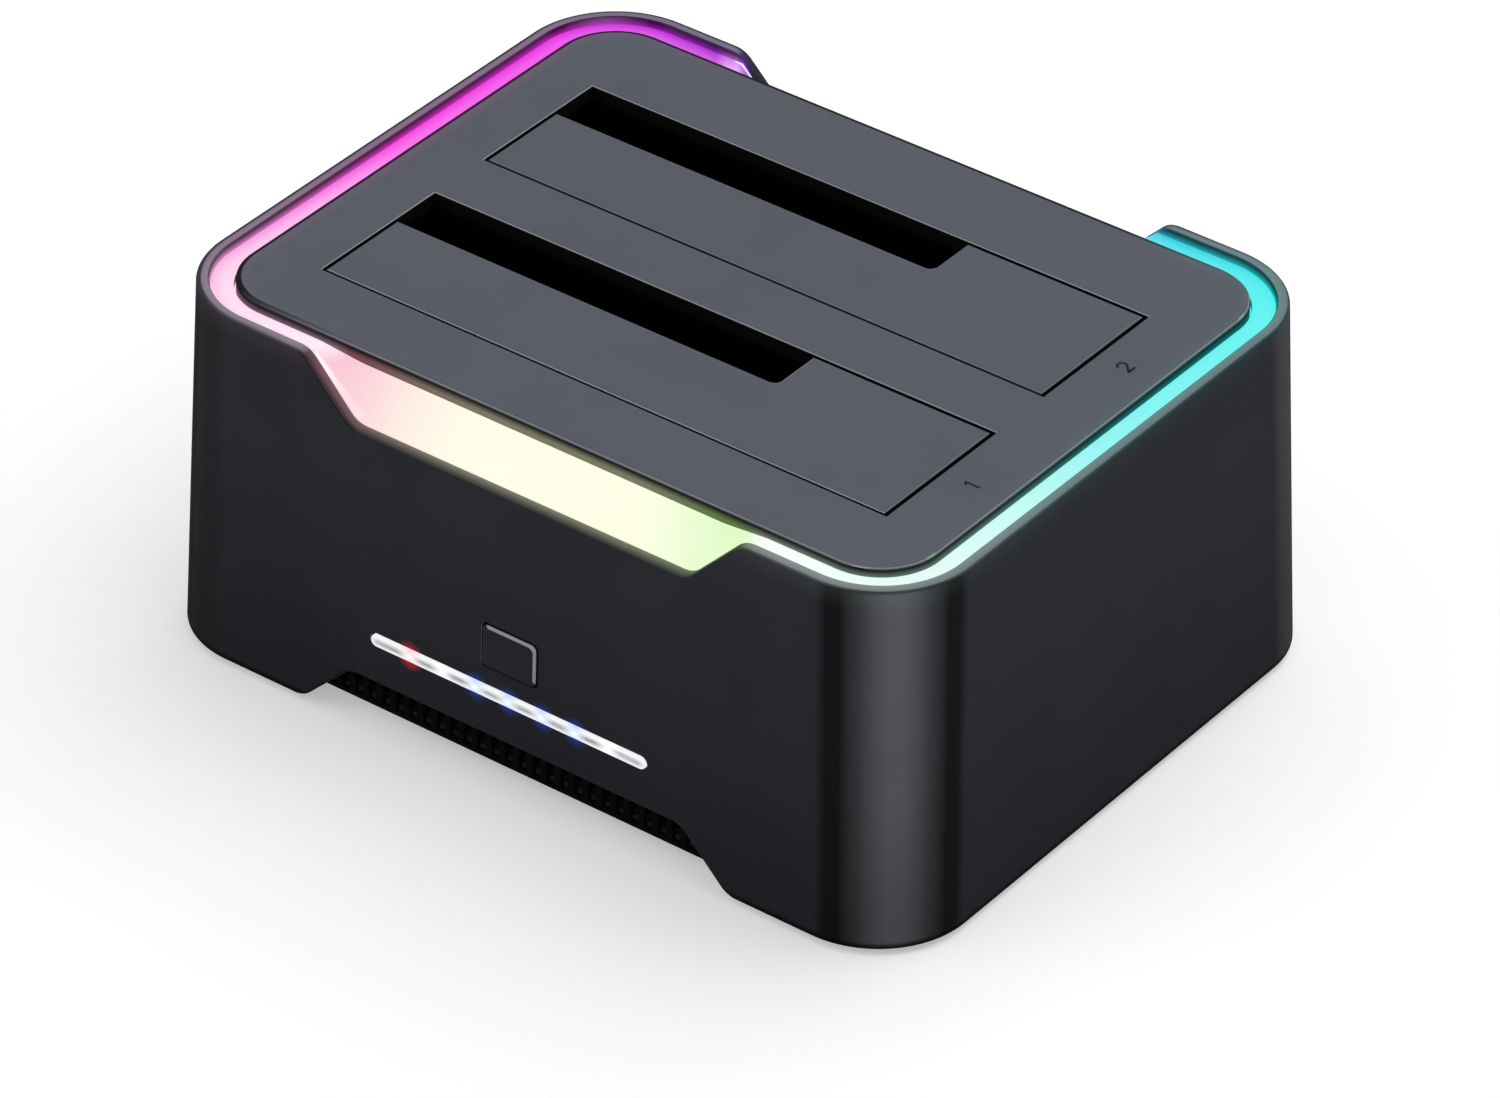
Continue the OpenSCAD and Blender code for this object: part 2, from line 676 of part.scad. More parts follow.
// Flat two-core lead from the main board to the right side light board
module light_lead()
    color("#d8d8d8")
    let (low = board_top + lead_t / 2, high = shelf_top + light_board_t + lead_t / 2)
    translate([0, lead_y, 0]) rotate([90, 0, 0]) linear_extrude(lead_w, center = true)
        ribbon([[board_w / 2 - 6, low], [board_w / 2 + 4, low], [tab_x - 1.5, low + 0.4], [tab_x, low + 3],
            [tab_x, shelf_top - 4], [tab_x + 1, shelf_top + 0.6],
            [side_board_x - side_board_w / 2 - 0.3, high], [side_board_x - lamp_w / 2 - 0.1, high]], lead_t);

module indicator_bar()
    color("#f6f8fa")
    on_front(panel_x, bar_z) {
        translate([0, 0, -wall - bar_flange]) linear_extrude(wall + bar_flange + bar_proud)
            stadium(bar_l, bar_h);
        translate([0, 0, -wall - bar_flange]) linear_extrude(bar_flange)
            stadium(bar_l + 2 * bar_flange, bar_h + 2 * bar_flange);
        for (i = [0:lamp_count - 1])
            translate([(i - (lamp_count - 1) / 2) * lamp_pitch, 0, -panel_depth + led_h])
                slab(led_w / 2 - 0.2, led_t / 2, 0.2, 0, panel_depth - led_h - wall - bar_flange / 2);
    }

module indicator_board()
    color("#1f5a3a")
    difference() {
        on_front(panel_x, bar_z)
            translate([-panel_board_w / 2, panel_low, -panel_depth - board_t])
                cube([panel_board_w, panel_high - panel_low, board_t]);
        on_front(panel_x, bar_z)
            for (x = [-1, 1]) translate([x * panel_post_x, panel_post_y, -panel_depth - board_t - 1])
                cylinder(r = small_screw_r + screw_free, h = board_t + 2);
    }

module indicator_lights()
    color("#f8f8ff")
    on_front(panel_x, bar_z)
        for (i = [0:lamp_count - 1])
            translate([(i - (lamp_count - 1) / 2) * lamp_pitch, 0, -panel_depth])
                slab(led_w / 2, led_t / 2, 0.2, 0, led_h);

module indicator_screws()
    color("#8a8c92")
    on_front(panel_x, bar_z)
        for (x = [-1, 1])
            translate([x * panel_post_x, panel_post_y, -panel_depth - board_t]) rotate([180, 0, 0])
                pan_screw(small_screw_r, board_t + small_pilot_h - 0.5, 2, 1.4);

module front_button()
    color("#2a2b2f")
    on_front(panel_x, bar_z) translate([0, button_up, -button_back]) {
        bevel_slab(button_w / 2 - panel_fit, button_h / 2 - panel_fit, 0.8,
            button_back + button_proud, 0.6);
        slab(button_w / 2 + 0.8, button_h / 2 + 0.8, 1, 0, button_lip);
    }

module button_plunger()
    color("#d9d4c8")
    on_front(panel_x, bar_z) translate([0, button_up, -panel_depth + switch_h - plunger_in])
        cylinder(r = plunger_r, h = panel_depth - switch_h + plunger_in - button_back);

module button_switch()
    color("#303136")
    on_front(panel_x, bar_z) translate([0, button_up, -panel_depth])
        difference() {
            slab(3, 3, 0.4, 0, switch_h);
            translate([0, 0, switch_h - plunger_in - button_travel - 0.3])
                cylinder(r = plunger_r + pin_fit, h = switch_h);
        }

module ribbon_sockets()
    color("#ece8dc") {
        translate([-ribbon_w / 2 - 1, board_front + 2, board_top]) cube([ribbon_w + 2, plug_d, plug_h]);
        on_front(0, bar_z) translate([-ribbon_w / 2 - 1, panel_low + 0.4, -panel_depth - board_t - plug_h])
            cube([ribbon_w + 2, plug_d - 1, plug_h]);
    }

// Flat ribbon from the indicator board's socket down to the main board's
module panel_ribbon()
    color("#cfd2d8")
    let (back = panel_back_y + plug_h + ribbon_t / 2, top = bar_z + panel_low + 2.4)
    let (mid = board_top + plug_h / 2)
    translate([-ribbon_w / 2, 0, 0]) rotate([90, 0, 90]) linear_extrude(ribbon_w)
        ribbon([[back + 0.1, top], [back + 0.2, top - 1.6], [back + 1.7, mid + 0.1], [board_front - 2, mid],
            [board_front + 2, mid]], ribbon_t);

module main_board()
    color("#1f5a3a")
    difference() {
        translate([-board_w / 2, board_front, board_low])
            cube([board_w, board_back - board_front, board_t]);
        for (x = [-1, 1], y = post_ys)
            translate([x * post_x, y, board_low - 1])
                cylinder(r = small_screw_r + screw_free, h = board_t + 2);
    }

module board_screws()
    color("#8a8c92")
    for (x = [-1, 1], y = post_ys)
        translate([x * post_x, y, board_top])
            pan_screw(small_screw_r, board_t + small_pilot_h - 0.5, 2.6, 1.4);

// Upright receptacle with a long slot for the drive's blade
module drive_connector(i)
    color("#17181a")
    translate([connector_x, bay_rear(i) - connector_in, board_top])
        difference() {
            slab(connector_l / 2, connector_t / 2, 0.8, 0, connector_h);
            translate([-blade_l / 2, -blade_t / 2, connector_h - blade_h])
                cube([blade_l, blade_t, blade_h + 1]);
        }

module front_drive_connector() drive_connector(0);

module rear_drive_connector() drive_connector(1);

module contacts(i)
    color("#d8b45a")
    for (k = [0:contact_count - 1])
        translate([connector_x + (k - (contact_count - 1) / 2) * contact_pitch,
            bay_rear(i) - connector_in + blade_t / 2 - 0.2, board_top + connector_h - blade_h / 2 - 0.6])
            cube([0.6, 0.4, blade_h - 1.2], center = true);

module front_contacts() contacts(0);

module rear_contacts() contacts(1);

module board_chips()
    color("#16171a")
    for (c = [[18, -22, 5], [24, 8, 6], [-14, 4, 3.5], [30, -30, 3]])
        translate([c.x, c.y, board_top]) slab(c.z, c.z, 0.3, 0, 1.4);

module board_capacitors()
    color("#9fa4ab")
    for (c = [[-36, 36, 3], [30, 40, 3.2], [22, 40, 3.2], [14, 41, 2.5]])
        translate([c.x, c.y, board_top]) cylinder(r = c.z, h = 8);

module board_coils()
    color("#4a4c50")
    for (x = [10, 20, 30])
        translate([x, 29, board_top]) bevel_slab(3.2, 3.2, 1, 3, 0.6);

// Round-barrelled power jack on the main board, its collar in the back wall
module power_jack()
    color("#101114")
    translate([jack_x, port_face, port_z]) {
        difference() {
            union() {
                translate([-jack_w / 2, -12, -port_h / 2]) cube([jack_w, 12, port_h]);
                rotate([-90, 0, 0]) cylinder(r = jack_w / 2 - collar_in, h = wall);
            }
            translate([0, -9, 0]) rotate([-90, 0, 0]) cylinder(r = jack_bore, h = 20);
        }
        translate([0, -10, 0]) rotate([-90, 0, 0]) cylinder(r = jack_pin, h = 10);
    }

// Square data socket on the main board with its tongue, its collar in the back wall
module data_socket()
    color("#1b3f8f")
    translate([socket_x, port_face, board_top]) {
        difference() {
            union() {
                translate([-socket_w / 2, -14, 0]) cube([socket_w, 14, port_h]);
                translate([0, 0, port_h / 2]) rotate([-90, 0, 0])
                    slab(socket_w / 2 - collar_in - port_fit, port_h / 2 - collar_in - port_fit, 0.3,
                        -1, wall);
            }
            translate([-4.2, -9, 1.7]) cube([8.4, 20, 7.6]);
        }
        translate([-2.8, -10, 4]) cube([5.6, 10, 3]);
    }

module switch_housing()
    color("#141517")
    on_back(switch_x, switch_z)
        difference() {
            union() {
                slab(rocker_l / 2 + switch_rim + 1, rocker_h / 2 + switch_side + 1, 1, 0, bezel_t);
                slab(rocker_l / 2 + switch_rim, rocker_h / 2 + switch_side, 0.8, -switch_body, eps);
            }
            slab(rocker_l / 2 + 0.7, rocker_h / 2 + 0.3, 0.4, rocker_pivot - 2, bezel_t + 1);
            translate([0, 0, rocker_pivot]) rotate([90, 0, 0])
                cylinder(r = rocker_stub + pin_fit, h = rocker_h + 1.8, center = true);
        }

// Rocker with a shallow valley, tipped to its resting side on two stub pins
module power_rocker()
    color("#1d1e21")
    on_back(switch_x, switch_z) translate([0, 0, rocker_pivot]) rotate([0, rocker_tilt, 0])
        rotate([90, 0, 0]) {
            linear_extrude(rocker_h, center = true)
                polygon([[-rocker_l / 2 + 0.5, -0.4], [rocker_l / 2 - 0.5, -0.4], [rocker_l / 2, rocker_t],
                    [0, rocker_t - 0.7], [-rocker_l / 2, rocker_t]]);
            cylinder(r = rocker_stub, h = rocker_h + 1.6, center = true);
        }

module grille(h)
    let (last = floor((grille_w - 8) / grille_pitch))
    color("#0c0c0d")
    difference() {
        translate([-grille_w / 2, -grille_y, base_top]) cube([grille_w, grille_t, h]);
        for (k = [0:last])
            translate([(k - last / 2) * grille_pitch - grille_slot / 2, -grille_y - 1,
                base_top + grille_edge])
                cube([grille_slot, grille_t + 2, h - 2 * grille_edge]);
    }

module front_grille() grille(grille_h);

module rear_grille() rotate([0, 0, 180]) grille(rear_grille_h);

module base_plate()
    color("#1c1d20")
    difference() {
        union() {
            slab(base_w, base_d, corner_r - wall, base_z, base_top);
            for (x = [-1, 1], y = post_ys)
                translate([x * post_x, y, base_top - eps]) cylinder(r = post_r, h = post_h + eps);
        }
        both_ends() translate([-arch_w / 2 - 3, -base_d - 5, base_z - 1])
            cube([arch_w + 6, base_d + 5 - grille_y, base_t + 2]);
        for (x = [-1, 1], k = [-4:4])
            translate([x * vent_x, k * vent_pitch, base_z - 1]) linear_extrude(base_t + 2)
                stadium(vent_l, vent_h);
        for (x = [-1, 1], y = post_ys)
            translate([x * post_x, y, board_low - small_pilot_h])
                cylinder(r = small_pilot_r, h = small_pilot_h + 1);
        corners(foot_x, foot_y) translate([0, 0, base_z - 1]) cylinder(r = foot_r + 0.1, h = foot_seat + 1);
        screw_places() {
            translate([0, 0, base_z - 1]) cylinder(r = screw_r + screw_free, h = base_t + 2);
            translate([0, 0, base_z - eps]) cylinder(r1 = sink_r + 0.1, r2 = screw_r + 0.1, h = sink_h);
        }
    }

// Places of the screws that hold the base plate to the shell and to the bay frame
module screw_places() {
    corners(boss_x, boss_y) children();
    for (x = [-1, 1], y = leg_ys) translate([x * leg_x, y, 0]) children();
}

module base_screws()
    color("#8a8c92")
    screw_places() translate([0, 0, base_z])
        difference() {
            union() {
                cylinder(r1 = sink_r, r2 = screw_r, h = sink_h);
                cylinder(r = screw_r, h = base_t + 7);
            }
            for (a = [0, 90]) rotate([0, 0, a]) translate([-1.6, -0.3, -1]) cube([3.2, 0.6, 1.8]);
        }

module rubber_feet()
    color("#0f0f10")
    corners(foot_x, foot_y) {
        cylinder(r1 = foot_r - 0.5, r2 = foot_r, h = 0.5);
        translate([0, 0, 0.5]) cylinder(r = foot_r, h = base_z + foot_seat - 0.5);
    }

outer_shell();
top_plate();
left_light_strip();
right_light_strip();
front_window();
rear_window();
front_bay_flap();
rear_bay_flap();
front_hinge_pin();
rear_hinge_pin();
front_flap_spring();
rear_flap_spring();
bay_frame();
plate_screws();
side_light_boards();
side_lights();
window_light_boards();
window_lights();
light_lead();
indicator_bar();
indicator_board();
indicator_lights();
indicator_screws();
front_button();
button_plunger();
button_switch();
panel_ribbon();
ribbon_sockets();
main_board();
board_screws();
front_drive_connector();
rear_drive_connector();
front_contacts();
rear_contacts();
board_chips();
board_capacitors();
board_coils();
power_jack();
data_socket();
switch_housing();
power_rocker();
front_grille();
rear_grille();
base_plate();
base_screws();
rubber_feet();
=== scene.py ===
import json
import math
import bmesh
import bpy
from mathutils import Matrix, Vector
from mathutils.geometry import tessellate_polygon


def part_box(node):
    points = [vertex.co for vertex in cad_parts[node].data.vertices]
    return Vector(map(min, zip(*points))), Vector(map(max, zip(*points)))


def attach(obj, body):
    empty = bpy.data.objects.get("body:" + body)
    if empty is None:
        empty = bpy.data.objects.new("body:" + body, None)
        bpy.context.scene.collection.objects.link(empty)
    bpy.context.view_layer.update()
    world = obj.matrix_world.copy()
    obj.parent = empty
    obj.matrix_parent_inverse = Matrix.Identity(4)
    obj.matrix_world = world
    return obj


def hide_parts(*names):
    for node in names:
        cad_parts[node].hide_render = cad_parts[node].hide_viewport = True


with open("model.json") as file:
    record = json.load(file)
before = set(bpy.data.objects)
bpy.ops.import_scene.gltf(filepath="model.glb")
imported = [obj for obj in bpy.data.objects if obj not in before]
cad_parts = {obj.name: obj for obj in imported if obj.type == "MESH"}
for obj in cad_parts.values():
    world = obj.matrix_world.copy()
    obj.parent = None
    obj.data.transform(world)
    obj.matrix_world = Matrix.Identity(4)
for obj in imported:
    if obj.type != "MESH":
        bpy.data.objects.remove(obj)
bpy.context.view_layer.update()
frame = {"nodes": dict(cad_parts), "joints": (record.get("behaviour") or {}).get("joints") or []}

# Outer shell
# One injection moulding in black ABS: four leaning walls with big upright corners, a notch in the
# front and back rim for the light windows, and an arch over each grille. Everything else fixes to it.
MM = 0.001


def mm_box(name):
    """Lowest and highest corner of a CAD node, in millimetres."""
    low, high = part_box(name)
    return low / MM, high / MM


shell_low, shell_high = mm_box("outer_shell")
lift, top_z = shell_low.z, shell_high.z
draft = 2.3  # lean of each wall over its height
rim_w, rim_d = shell_high.x - draft, shell_high.y - draft
corner_r, wall = 16, 1.9
inner_r = corner_r - wall
rim_ease, inner_ease = 0.5, 0.3  # rounding of rim and lower edge, and of the rim's inside
notch_h, arch_h = 9.3, 8.7
gap_w, gap_run, gap_r = 80, 9, 4  # mouth, sloping ends and rounding of notches and arches
lean = math.atan2(draft, top_z - lift)


def spread(z):
    """How far the leaning walls stand out at height z beyond the rim."""
    return draft * (top_z - z) / (top_z - lift)


def gap_depth(x, depth):
    """How deep a notch or an arch is at x: flat, round, sloping, round and flat again."""
    slope = math.atan2(depth, gap_run)
    bend = gap_r * math.tan(slope / 2)
    reach = gap_r * math.sin(slope)
    inwards = gap_w / 2 - abs(x)
    if inwards <= -bend:
        return 0
    if inwards < reach - bend:
        return gap_r - math.sqrt(gap_r ** 2 - (inwards + bend) ** 2)
    if inwards < gap_run + bend - reach:
        return inwards * math.tan(slope)
    if inwards < gap_run + bend:
        return depth - gap_r + math.sqrt(gap_r ** 2 - (gap_run + bend - inwards) ** 2)
    return depth


def quarter(steps=4):
    """Cosine and sine of a quarter turn in even steps."""
    return [(math.cos(math.pi / 2 * k / steps), math.sin(math.pi / 2 * k / steps)) for k in range(steps + 1)]


def wall_section(top, low):
    """Outline of the wall as pairs of inset and height, with eased edges and a holding line beside each."""
    e, hold, flat = rim_ease, 0.3, 0.1
    points = [(0, top - e - hold)]
    points += [(e * (1 - c), top - e * (1 - s)) for c, s in quarter()]
    points += [(e + flat, top), (wall - inner_ease - flat, top)]
    points += [(wall - inner_ease * (1 - s), top - inner_ease * (1 - c)) for c, s in quarter()]
    points += [(wall, top - e - hold), (wall, low + e + hold)]
    points += [(wall - e * (1 - c), low + e * (1 - s)) for c, s in quarter()]
    points += [(e + flat, low)]
    points += [(e * (1 - s), low + e * (1 - c)) for c, s in quarter()]
    return points + [(0, low + e + hold)]


def straight_station(x, side):
    """Section of the front (side -1) or back (side 1) wall at x."""
    top, low = top_z - gap_depth(x, notch_h), lift + gap_depth(x, arch_h)
    return [(x, side * (rim_d + spread(z) - inset), z) for inset, z in wall_section(top, low)]


def corner_stations(x_side, y_side, start, steps=24):
    """Sections of an upright corner at even angles round its own middle."""
    stations = []
    for k in range(steps + 1):
        turn = math.radians(start + 90 * k / steps)
        stations.append([(x_side * (rim_w + spread(z) - corner_r) + (corner_r - inset) * math.cos(turn),
                          y_side * (rim_d + spread(z) - corner_r) + (corner_r - inset) * math.sin(turn), z)
                         for inset, z in wall_section(top_z, lift)])
    return stations


def loft(bm, loops, ring=False):
    """Skins loops of points with the same count; a ring joins the last to the first, else both ends close."""
    rows = [[bm.verts.new(p) for p in loop] for loop in loops]
    for a, b in zip(rows, rows[1:] + rows[:1] if ring else rows[1:]):
        for i in range(len(a)):
            bm.faces.new((a[i - 1], a[i], b[i], b[i - 1]))
    if not ring:
        bm.faces.new(rows[0])
        bm.faces.new(rows[-1])


def mesh_from(bm, name):
    """A mesh in metres from a bmesh in millimetres, with its faces turned outwards."""
    bmesh.ops.recalc_face_normals(bm, faces=bm.faces)
    bmesh.ops.scale(bm, vec=(MM, MM, MM), verts=bm.verts)
    mesh = bpy.data.meshes.new(name)
    bm.to_mesh(mesh)
    bm.free()
    return mesh


def add_piece(name, shape, material, body, slot, *nodes):
    """Makes a mesh or bmesh a piece on a body with a material, standing for CAD nodes; slot is not used."""
    mesh = mesh_from(shape, name) if isinstance(shape, bmesh.types.BMesh) else shape
    mesh.polygons.foreach_set("use_smooth", [True] * len(mesh.polygons))
    mesh.set_sharp_from_angle(angle=math.radians(30))
    mesh.materials.clear()
    mesh.materials.append(material)
    piece = bpy.data.objects.new(name, mesh)
    bpy.context.scene.collection.objects.link(piece)
    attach(piece, body)
    if nodes:
        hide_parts(*nodes)
    return piece


def on_wall(side, x, z, points):
    """Puts points (along, up, out) on the face of the front (side -1) or back (side 1) wall."""
    up = Vector((0, -side * math.sin(lean), math.cos(lean)))
    out = Vector((0, side * math.cos(lean), math.sin(lean)))
    base = Vector((x, side * (rim_d + spread(z)), z))
    return [base + Vector((-side * u, 0, 0)) + v * up + w * out for u, v, w in points]


def rounded_rect(half_w, half_h, r, steps=6):
    """Rounded rectangle as an anticlockwise loop of points."""
    loop = []
    for sx, sy, start in ((1, -1, -90), (1, 1, 0), (-1, 1, 90), (-1, -1, 180)):
        for k in range(steps + 1):
            turn = math.radians(start + 90 * k / steps)
            loop.append((sx * (half_w - r) + r * math.cos(turn), sy * (half_h - r) + r * math.sin(turn)))
    return loop


def cut(mesh, cutters):
    """Cuts closed bmeshes in millimetres out of a mesh and returns what is left."""
    blank = bpy.data.objects.new("blank", mesh)
    bpy.context.scene.collection.objects.link(blank)
    tools = []
    for cutter in cutters:
        tool = bpy.data.objects.new("cutter", mesh_from(cutter, "cutter"))
        bpy.context.scene.collection.objects.link(tool)
        step = blank.modifiers.new("cut", "BOOLEAN")
        step.operation, step.object, step.solver = "DIFFERENCE", tool, "EXACT"
        tools.append(tool)
    result = bpy.data.meshes.new_from_object(blank.evaluated_get(bpy.context.evaluated_depsgraph_get()))
    for spent in [blank] + tools:
        bpy.data.objects.remove(spent)
    return result


def wall_cutter(side, x, z, up, half_l, half_h, r):
    """A cutter for an opening through the wall that ends in a small chamfer at the face."""
    chamfer, through = 0.1, 1
    loops = []
    for w, g in ((-wall - through, 0), (-chamfer, 0), (chamfer * 3, chamfer * 4)):
        loop = rounded_rect(half_l + g, half_h + g, r + g, steps=8)
        loops.append(on_wall(side, x, z, [(u, v + up, w) for u, v in loop]))
    bm = bmesh.new()
    loft(bm, loops)
    return bm


panel_x, bar_z = -0.7, 17.4  # middle of the front panel, and height of its light bar
bar_x, bar_l, bar_h = -1.0, 51.4, 2.0
button_up, button_w, button_h, button_r = 8.2, 10.5, 7.8, 1
panel_fit, collar_in = 0.2, 0.7  # clearance in an opening, and how much slimmer a port is there
hair = 0.001  # keeps the sides of a round opening from having no length
jack_low, jack_high = mm_box("power_jack")
socket_low, socket_high = mm_box("data_socket")
switch_low, switch_high = mm_box("switch_housing")
jack_x, socket_x, switch_x = ((a.x + b.x) / 2 for a, b in
                              ((jack_low, jack_high), (socket_low, socket_high), (switch_low, switch_high)))
port_z, switch_z = (jack_low.z + jack_high.z) / 2, 40
jack_r = (jack_high.x - jack_low.x) / 2 - collar_in + panel_fit
socket_w2, socket_h2 = ((b - a) / 2 - collar_in for a, b in
                        ((socket_low.x, socket_high.x), (socket_low.z, socket_high.z)))
socket_r, switch_w2, switch_h2, switch_r = 0.3, 7.5, 4.9, 0.8

slope_from, slope_step, slope_steps, wall_end = 29, 0.5, 27, 46
columns = [-slope_from - slope_step * k for k in range(slope_steps)]
columns = [-wall_end] + columns[::-1] + [-c for c in columns] + [wall_end]
stations = [straight_station(x, -1) for x in columns]
stations += corner_stations(1, -1, -90) + corner_stations(1, 1, 0)
stations += [straight_station(x, 1) for x in reversed(columns)]
stations += corner_stations(-1, 1, 90) + corner_stations(-1, -1, 180)
shell_blank = bmesh.new()
loft(shell_blank, stations, ring=True)
bar_hole = bar_h / 2 + panel_fit
shell_mesh = cut(mesh_from(shell_blank, "outer_shell"), [
    wall_cutter(-1, bar_x, bar_z, 0, bar_l / 2 + panel_fit, bar_hole, bar_hole - hair),
    wall_cutter(-1, panel_x, bar_z, button_up, button_w / 2, button_h / 2, button_r),
    wall_cutter(1, jack_x, port_z, 0, jack_r, jack_r, jack_r - hair),
    wall_cutter(1, socket_x, port_z, 0, socket_w2, socket_h2, socket_r),
    wall_cutter(1, switch_x, switch_z, 0, switch_w2, switch_h2, switch_r),
])


def linear(code):
    """An sRGB hex colour as linear red, green, blue and alpha."""
    parts = [int(code[i:i + 2], 16) / 255 for i in (1, 3, 5)]
    return [p / 12.92 if p <= 0.04045 else ((p + 0.055) / 1.055) ** 2.4 for p in parts] + [1]


def feed(made, sockets):
    """Sets a node's inputs to constants, or links outputs to them; a node stands for its output in use."""
    for name, value in sockets.items():
        if isinstance(value, bpy.types.Node):
            value = next(output for output in value.outputs if output.enabled)
        if isinstance(value, bpy.types.NodeSocket):
            made.id_data.links.new(value, made.inputs[name])
        else:
            made.inputs[name].default_value = value


def node(tree, kind, sockets, stops=(), **settings):
    """Adds a node: settings are its properties, sockets feed its inputs, stops fill its colour ramp.

    A mix of colours takes its share at input 0 and the two colours at 6 and 7.
    """
    made = tree.nodes.new("ShaderNode" + kind)
    for name, value in settings.items():
        setattr(made, name, value)
    feed(made, sockets)
    for k, (place, code) in enumerate(stops):
        stop = made.color_ramp.elements[k] if k < 2 else made.color_ramp.elements.new(place)
        stop.position, stop.color = place, linear(code)
    return made


def start_material(name):
    """A new material with its tree, its shader and the piece's own coordinates and normals."""
    material = bpy.data.materials.new(name)
    material.use_nodes = True
    tree = material.node_tree
    return material, tree, tree.nodes["Principled BSDF"], node(tree, "TexCoord", {}).outputs


def grain_finish(tree, shader, place, tone, grain, depth, roughness, specular, fade=0.1, clouds=18):
    """Soft clouds that darken the tone, and a grain, drawn coarser than it is, that dulls the gloss."""
    cloud = node(tree, "TexNoise", {"Vector": place["Object"], "Scale": 1 / (clouds * MM), "Detail": 3})
    fine = node(tree, "TexNoise", {"Vector": place["Object"], "Scale": 1 / (grain * MM), "Detail": 2})
    patch = node(tree, "MapRange", {"Value": cloud, "From Min": 0.35, "From Max": 0.65, "To Max": fade})
    tint = node(tree, "Mix", {0: patch, 6: tone, 7: (0, 0, 0, 1)}, data_type="RGBA")
    dull = node(tree, "MapRange", {"Value": fine, "From Min": 0.3, "From Max": 0.7,
                                   "To Min": roughness - 0.05, "To Max": roughness + 0.05})
    bump = node(tree, "Bump", {"Height": fine, "Distance": depth * MM, "Strength": 1})
    feed(shader, {"Base Color": tint, "Roughness": dull, "Normal": bump, "Specular IOR Level": specular})


# Light round the ring, as a fraction of a turn: 0 and 1 at the left, 0.25 at the front, 0.5 at the right.
ring_stops = [(0.0, "#f660e6"), (0.1, "#f8d2ea"), (0.141, "#f8e6f2"), (0.148, "#f6c2d2"), (0.18, "#faeae0"),
              (0.21, "#fbf9e4"), (0.31, "#fafbe2"), (0.354, "#d6f5bc"), (0.361, "#f5f9f5"), (0.42, "#d6f7ee"),
              (0.5, "#88efec"), (0.6, "#40ece8"), (0.65, "#40d6e6"), (0.7, "#3c88f0"), (0.8, "#7a40ea"),
              (0.852, "#b43ce0"), (0.857, "#efc4f8"), (0.862, "#c844e2"), (0.92, "#ee40e8"), (1.0, "#f660e6")]


def ring_light(tree, place):
    """Colour of the ring light beside a point, and the deeper colour that it throws on what is next to it."""
    turned = node(tree, "TexGradient", {"Vector": place["Object"]}, gradient_type="RADIAL")
    light = node(tree, "ValToRGB", {"Fac": turned.outputs["Fac"]}, stops=ring_stops)
    thrown = node(tree, "Mix", {0: 1.0, 6: light, 7: light}, data_type="RGBA", blend_type="MULTIPLY")
    return light, thrown


def ring_distance(tree, place):
    """How far a point lies, seen from above, outside the middles of the corners; plate and rim follow it."""
    folded = node(tree, "VectorMath", {0: place["Object"]}, operation="ABSOLUTE")
    beyond_reach = 1000  # so far up that a point's height never counts
    middle = Vector((rim_w - corner_r, rim_d - corner_r, beyond_reach)) * MM
    beyond = node(tree, "VectorMath", {0: folded, 1: middle}, operation="SUBTRACT")
    beyond = node(tree, "VectorMath", {0: beyond, 1: (0, 0, 0)}, operation="MAXIMUM")
    return node(tree, "VectorMath", {0: beyond}, operation="LENGTH")


def far_side(tree, place):
    """1 along the left and the back of the object, 0 along the front and the right."""
    spot = node(tree, "SeparateXYZ", {0: place["Object"]}).outputs
    behind = node(tree, "Math", {0: spot["Y"], 1: spot["X"]}, operation="SUBTRACT")
    blend = 12 * MM
    return node(tree, "MapRange", {"Value": behind, "From Min": -blend, "From Max": blend})


# Black ABS: the spark-eroded walls are near black and dull, with painted shade that darkens them a little
# towards the floor and a painted contact shadow that blackens the lower edge. Two upright corners carry a
# painted reflection, pale in the middle and darkest where they run into the walls; the other two carry
# painted shade, or a painted highlight with a painted dark line in the middle. The rim's top, where it faces
# up, is painted a dull grey as painted light, with a painted shade line along its far edge, and the ring's
# light is painted as a glow on it, on its inner wall and on the notches. The grain is drawn at 0.4 mm; the
# real one is 0.05 mm.
black_abs, tree, shader, place = start_material("black ABS, spark finish, painted light and shade")
facing = node(tree, "SeparateXYZ", {0: place["Normal"]}).outputs
height = node(tree, "SeparateXYZ", {0: place["Object"]}).outputs["Z"]
distance = ring_distance(tree, place)
far = far_side(tree, place)
# Painted highlights and shade on the upright corners, painted shade on the lower walls and a painted
# contact shadow at the lower edge.
diagonal = node(tree, "Math", {0: facing["X"], 1: facing["Y"]}, operation="MULTIPLY")
diagonal = node(tree, "MapRange", {"Value": diagonal, "From Min": 0.5, "From Max": -0.5})
corner_highlight_stops = [(0.5, "#333439"), (0.54, "#32333a"), (0.64, "#18181a"), (0.76, "#19191b"), (0.9, "#48494d"),
              (0.96, "#606166"), (1.0, "#707176")]
painted_corner_highlight = node(tree, "ValToRGB", {"Fac": diagonal}, stops=corner_highlight_stops)
across = node(tree, "Math", {0: facing["X"], 1: facing["Y"]}, operation="ADD")
across = node(tree, "MapRange", {"Value": across, "From Min": -math.sqrt(2), "From Max": math.sqrt(2)})
corner_shade_stops = [(0.0, "#0c0c0e"), (0.006, "#0c0c0e"), (0.014, "#26272a"), (0.07, "#292a2d"), (0.13, "#333439"),
              (0.86, "#333439"), (0.9, "#46474a"), (0.965, "#46474a"), (0.985, "#141416"), (1.0, "#141416")]
painted_corner_shade = node(tree, "ValToRGB", {"Fac": across}, stops=corner_shade_stops)
corner_shade_share = node(tree, "MapRange", {"Value": diagonal, "From Min": 0.5, "From Max": 0.45})
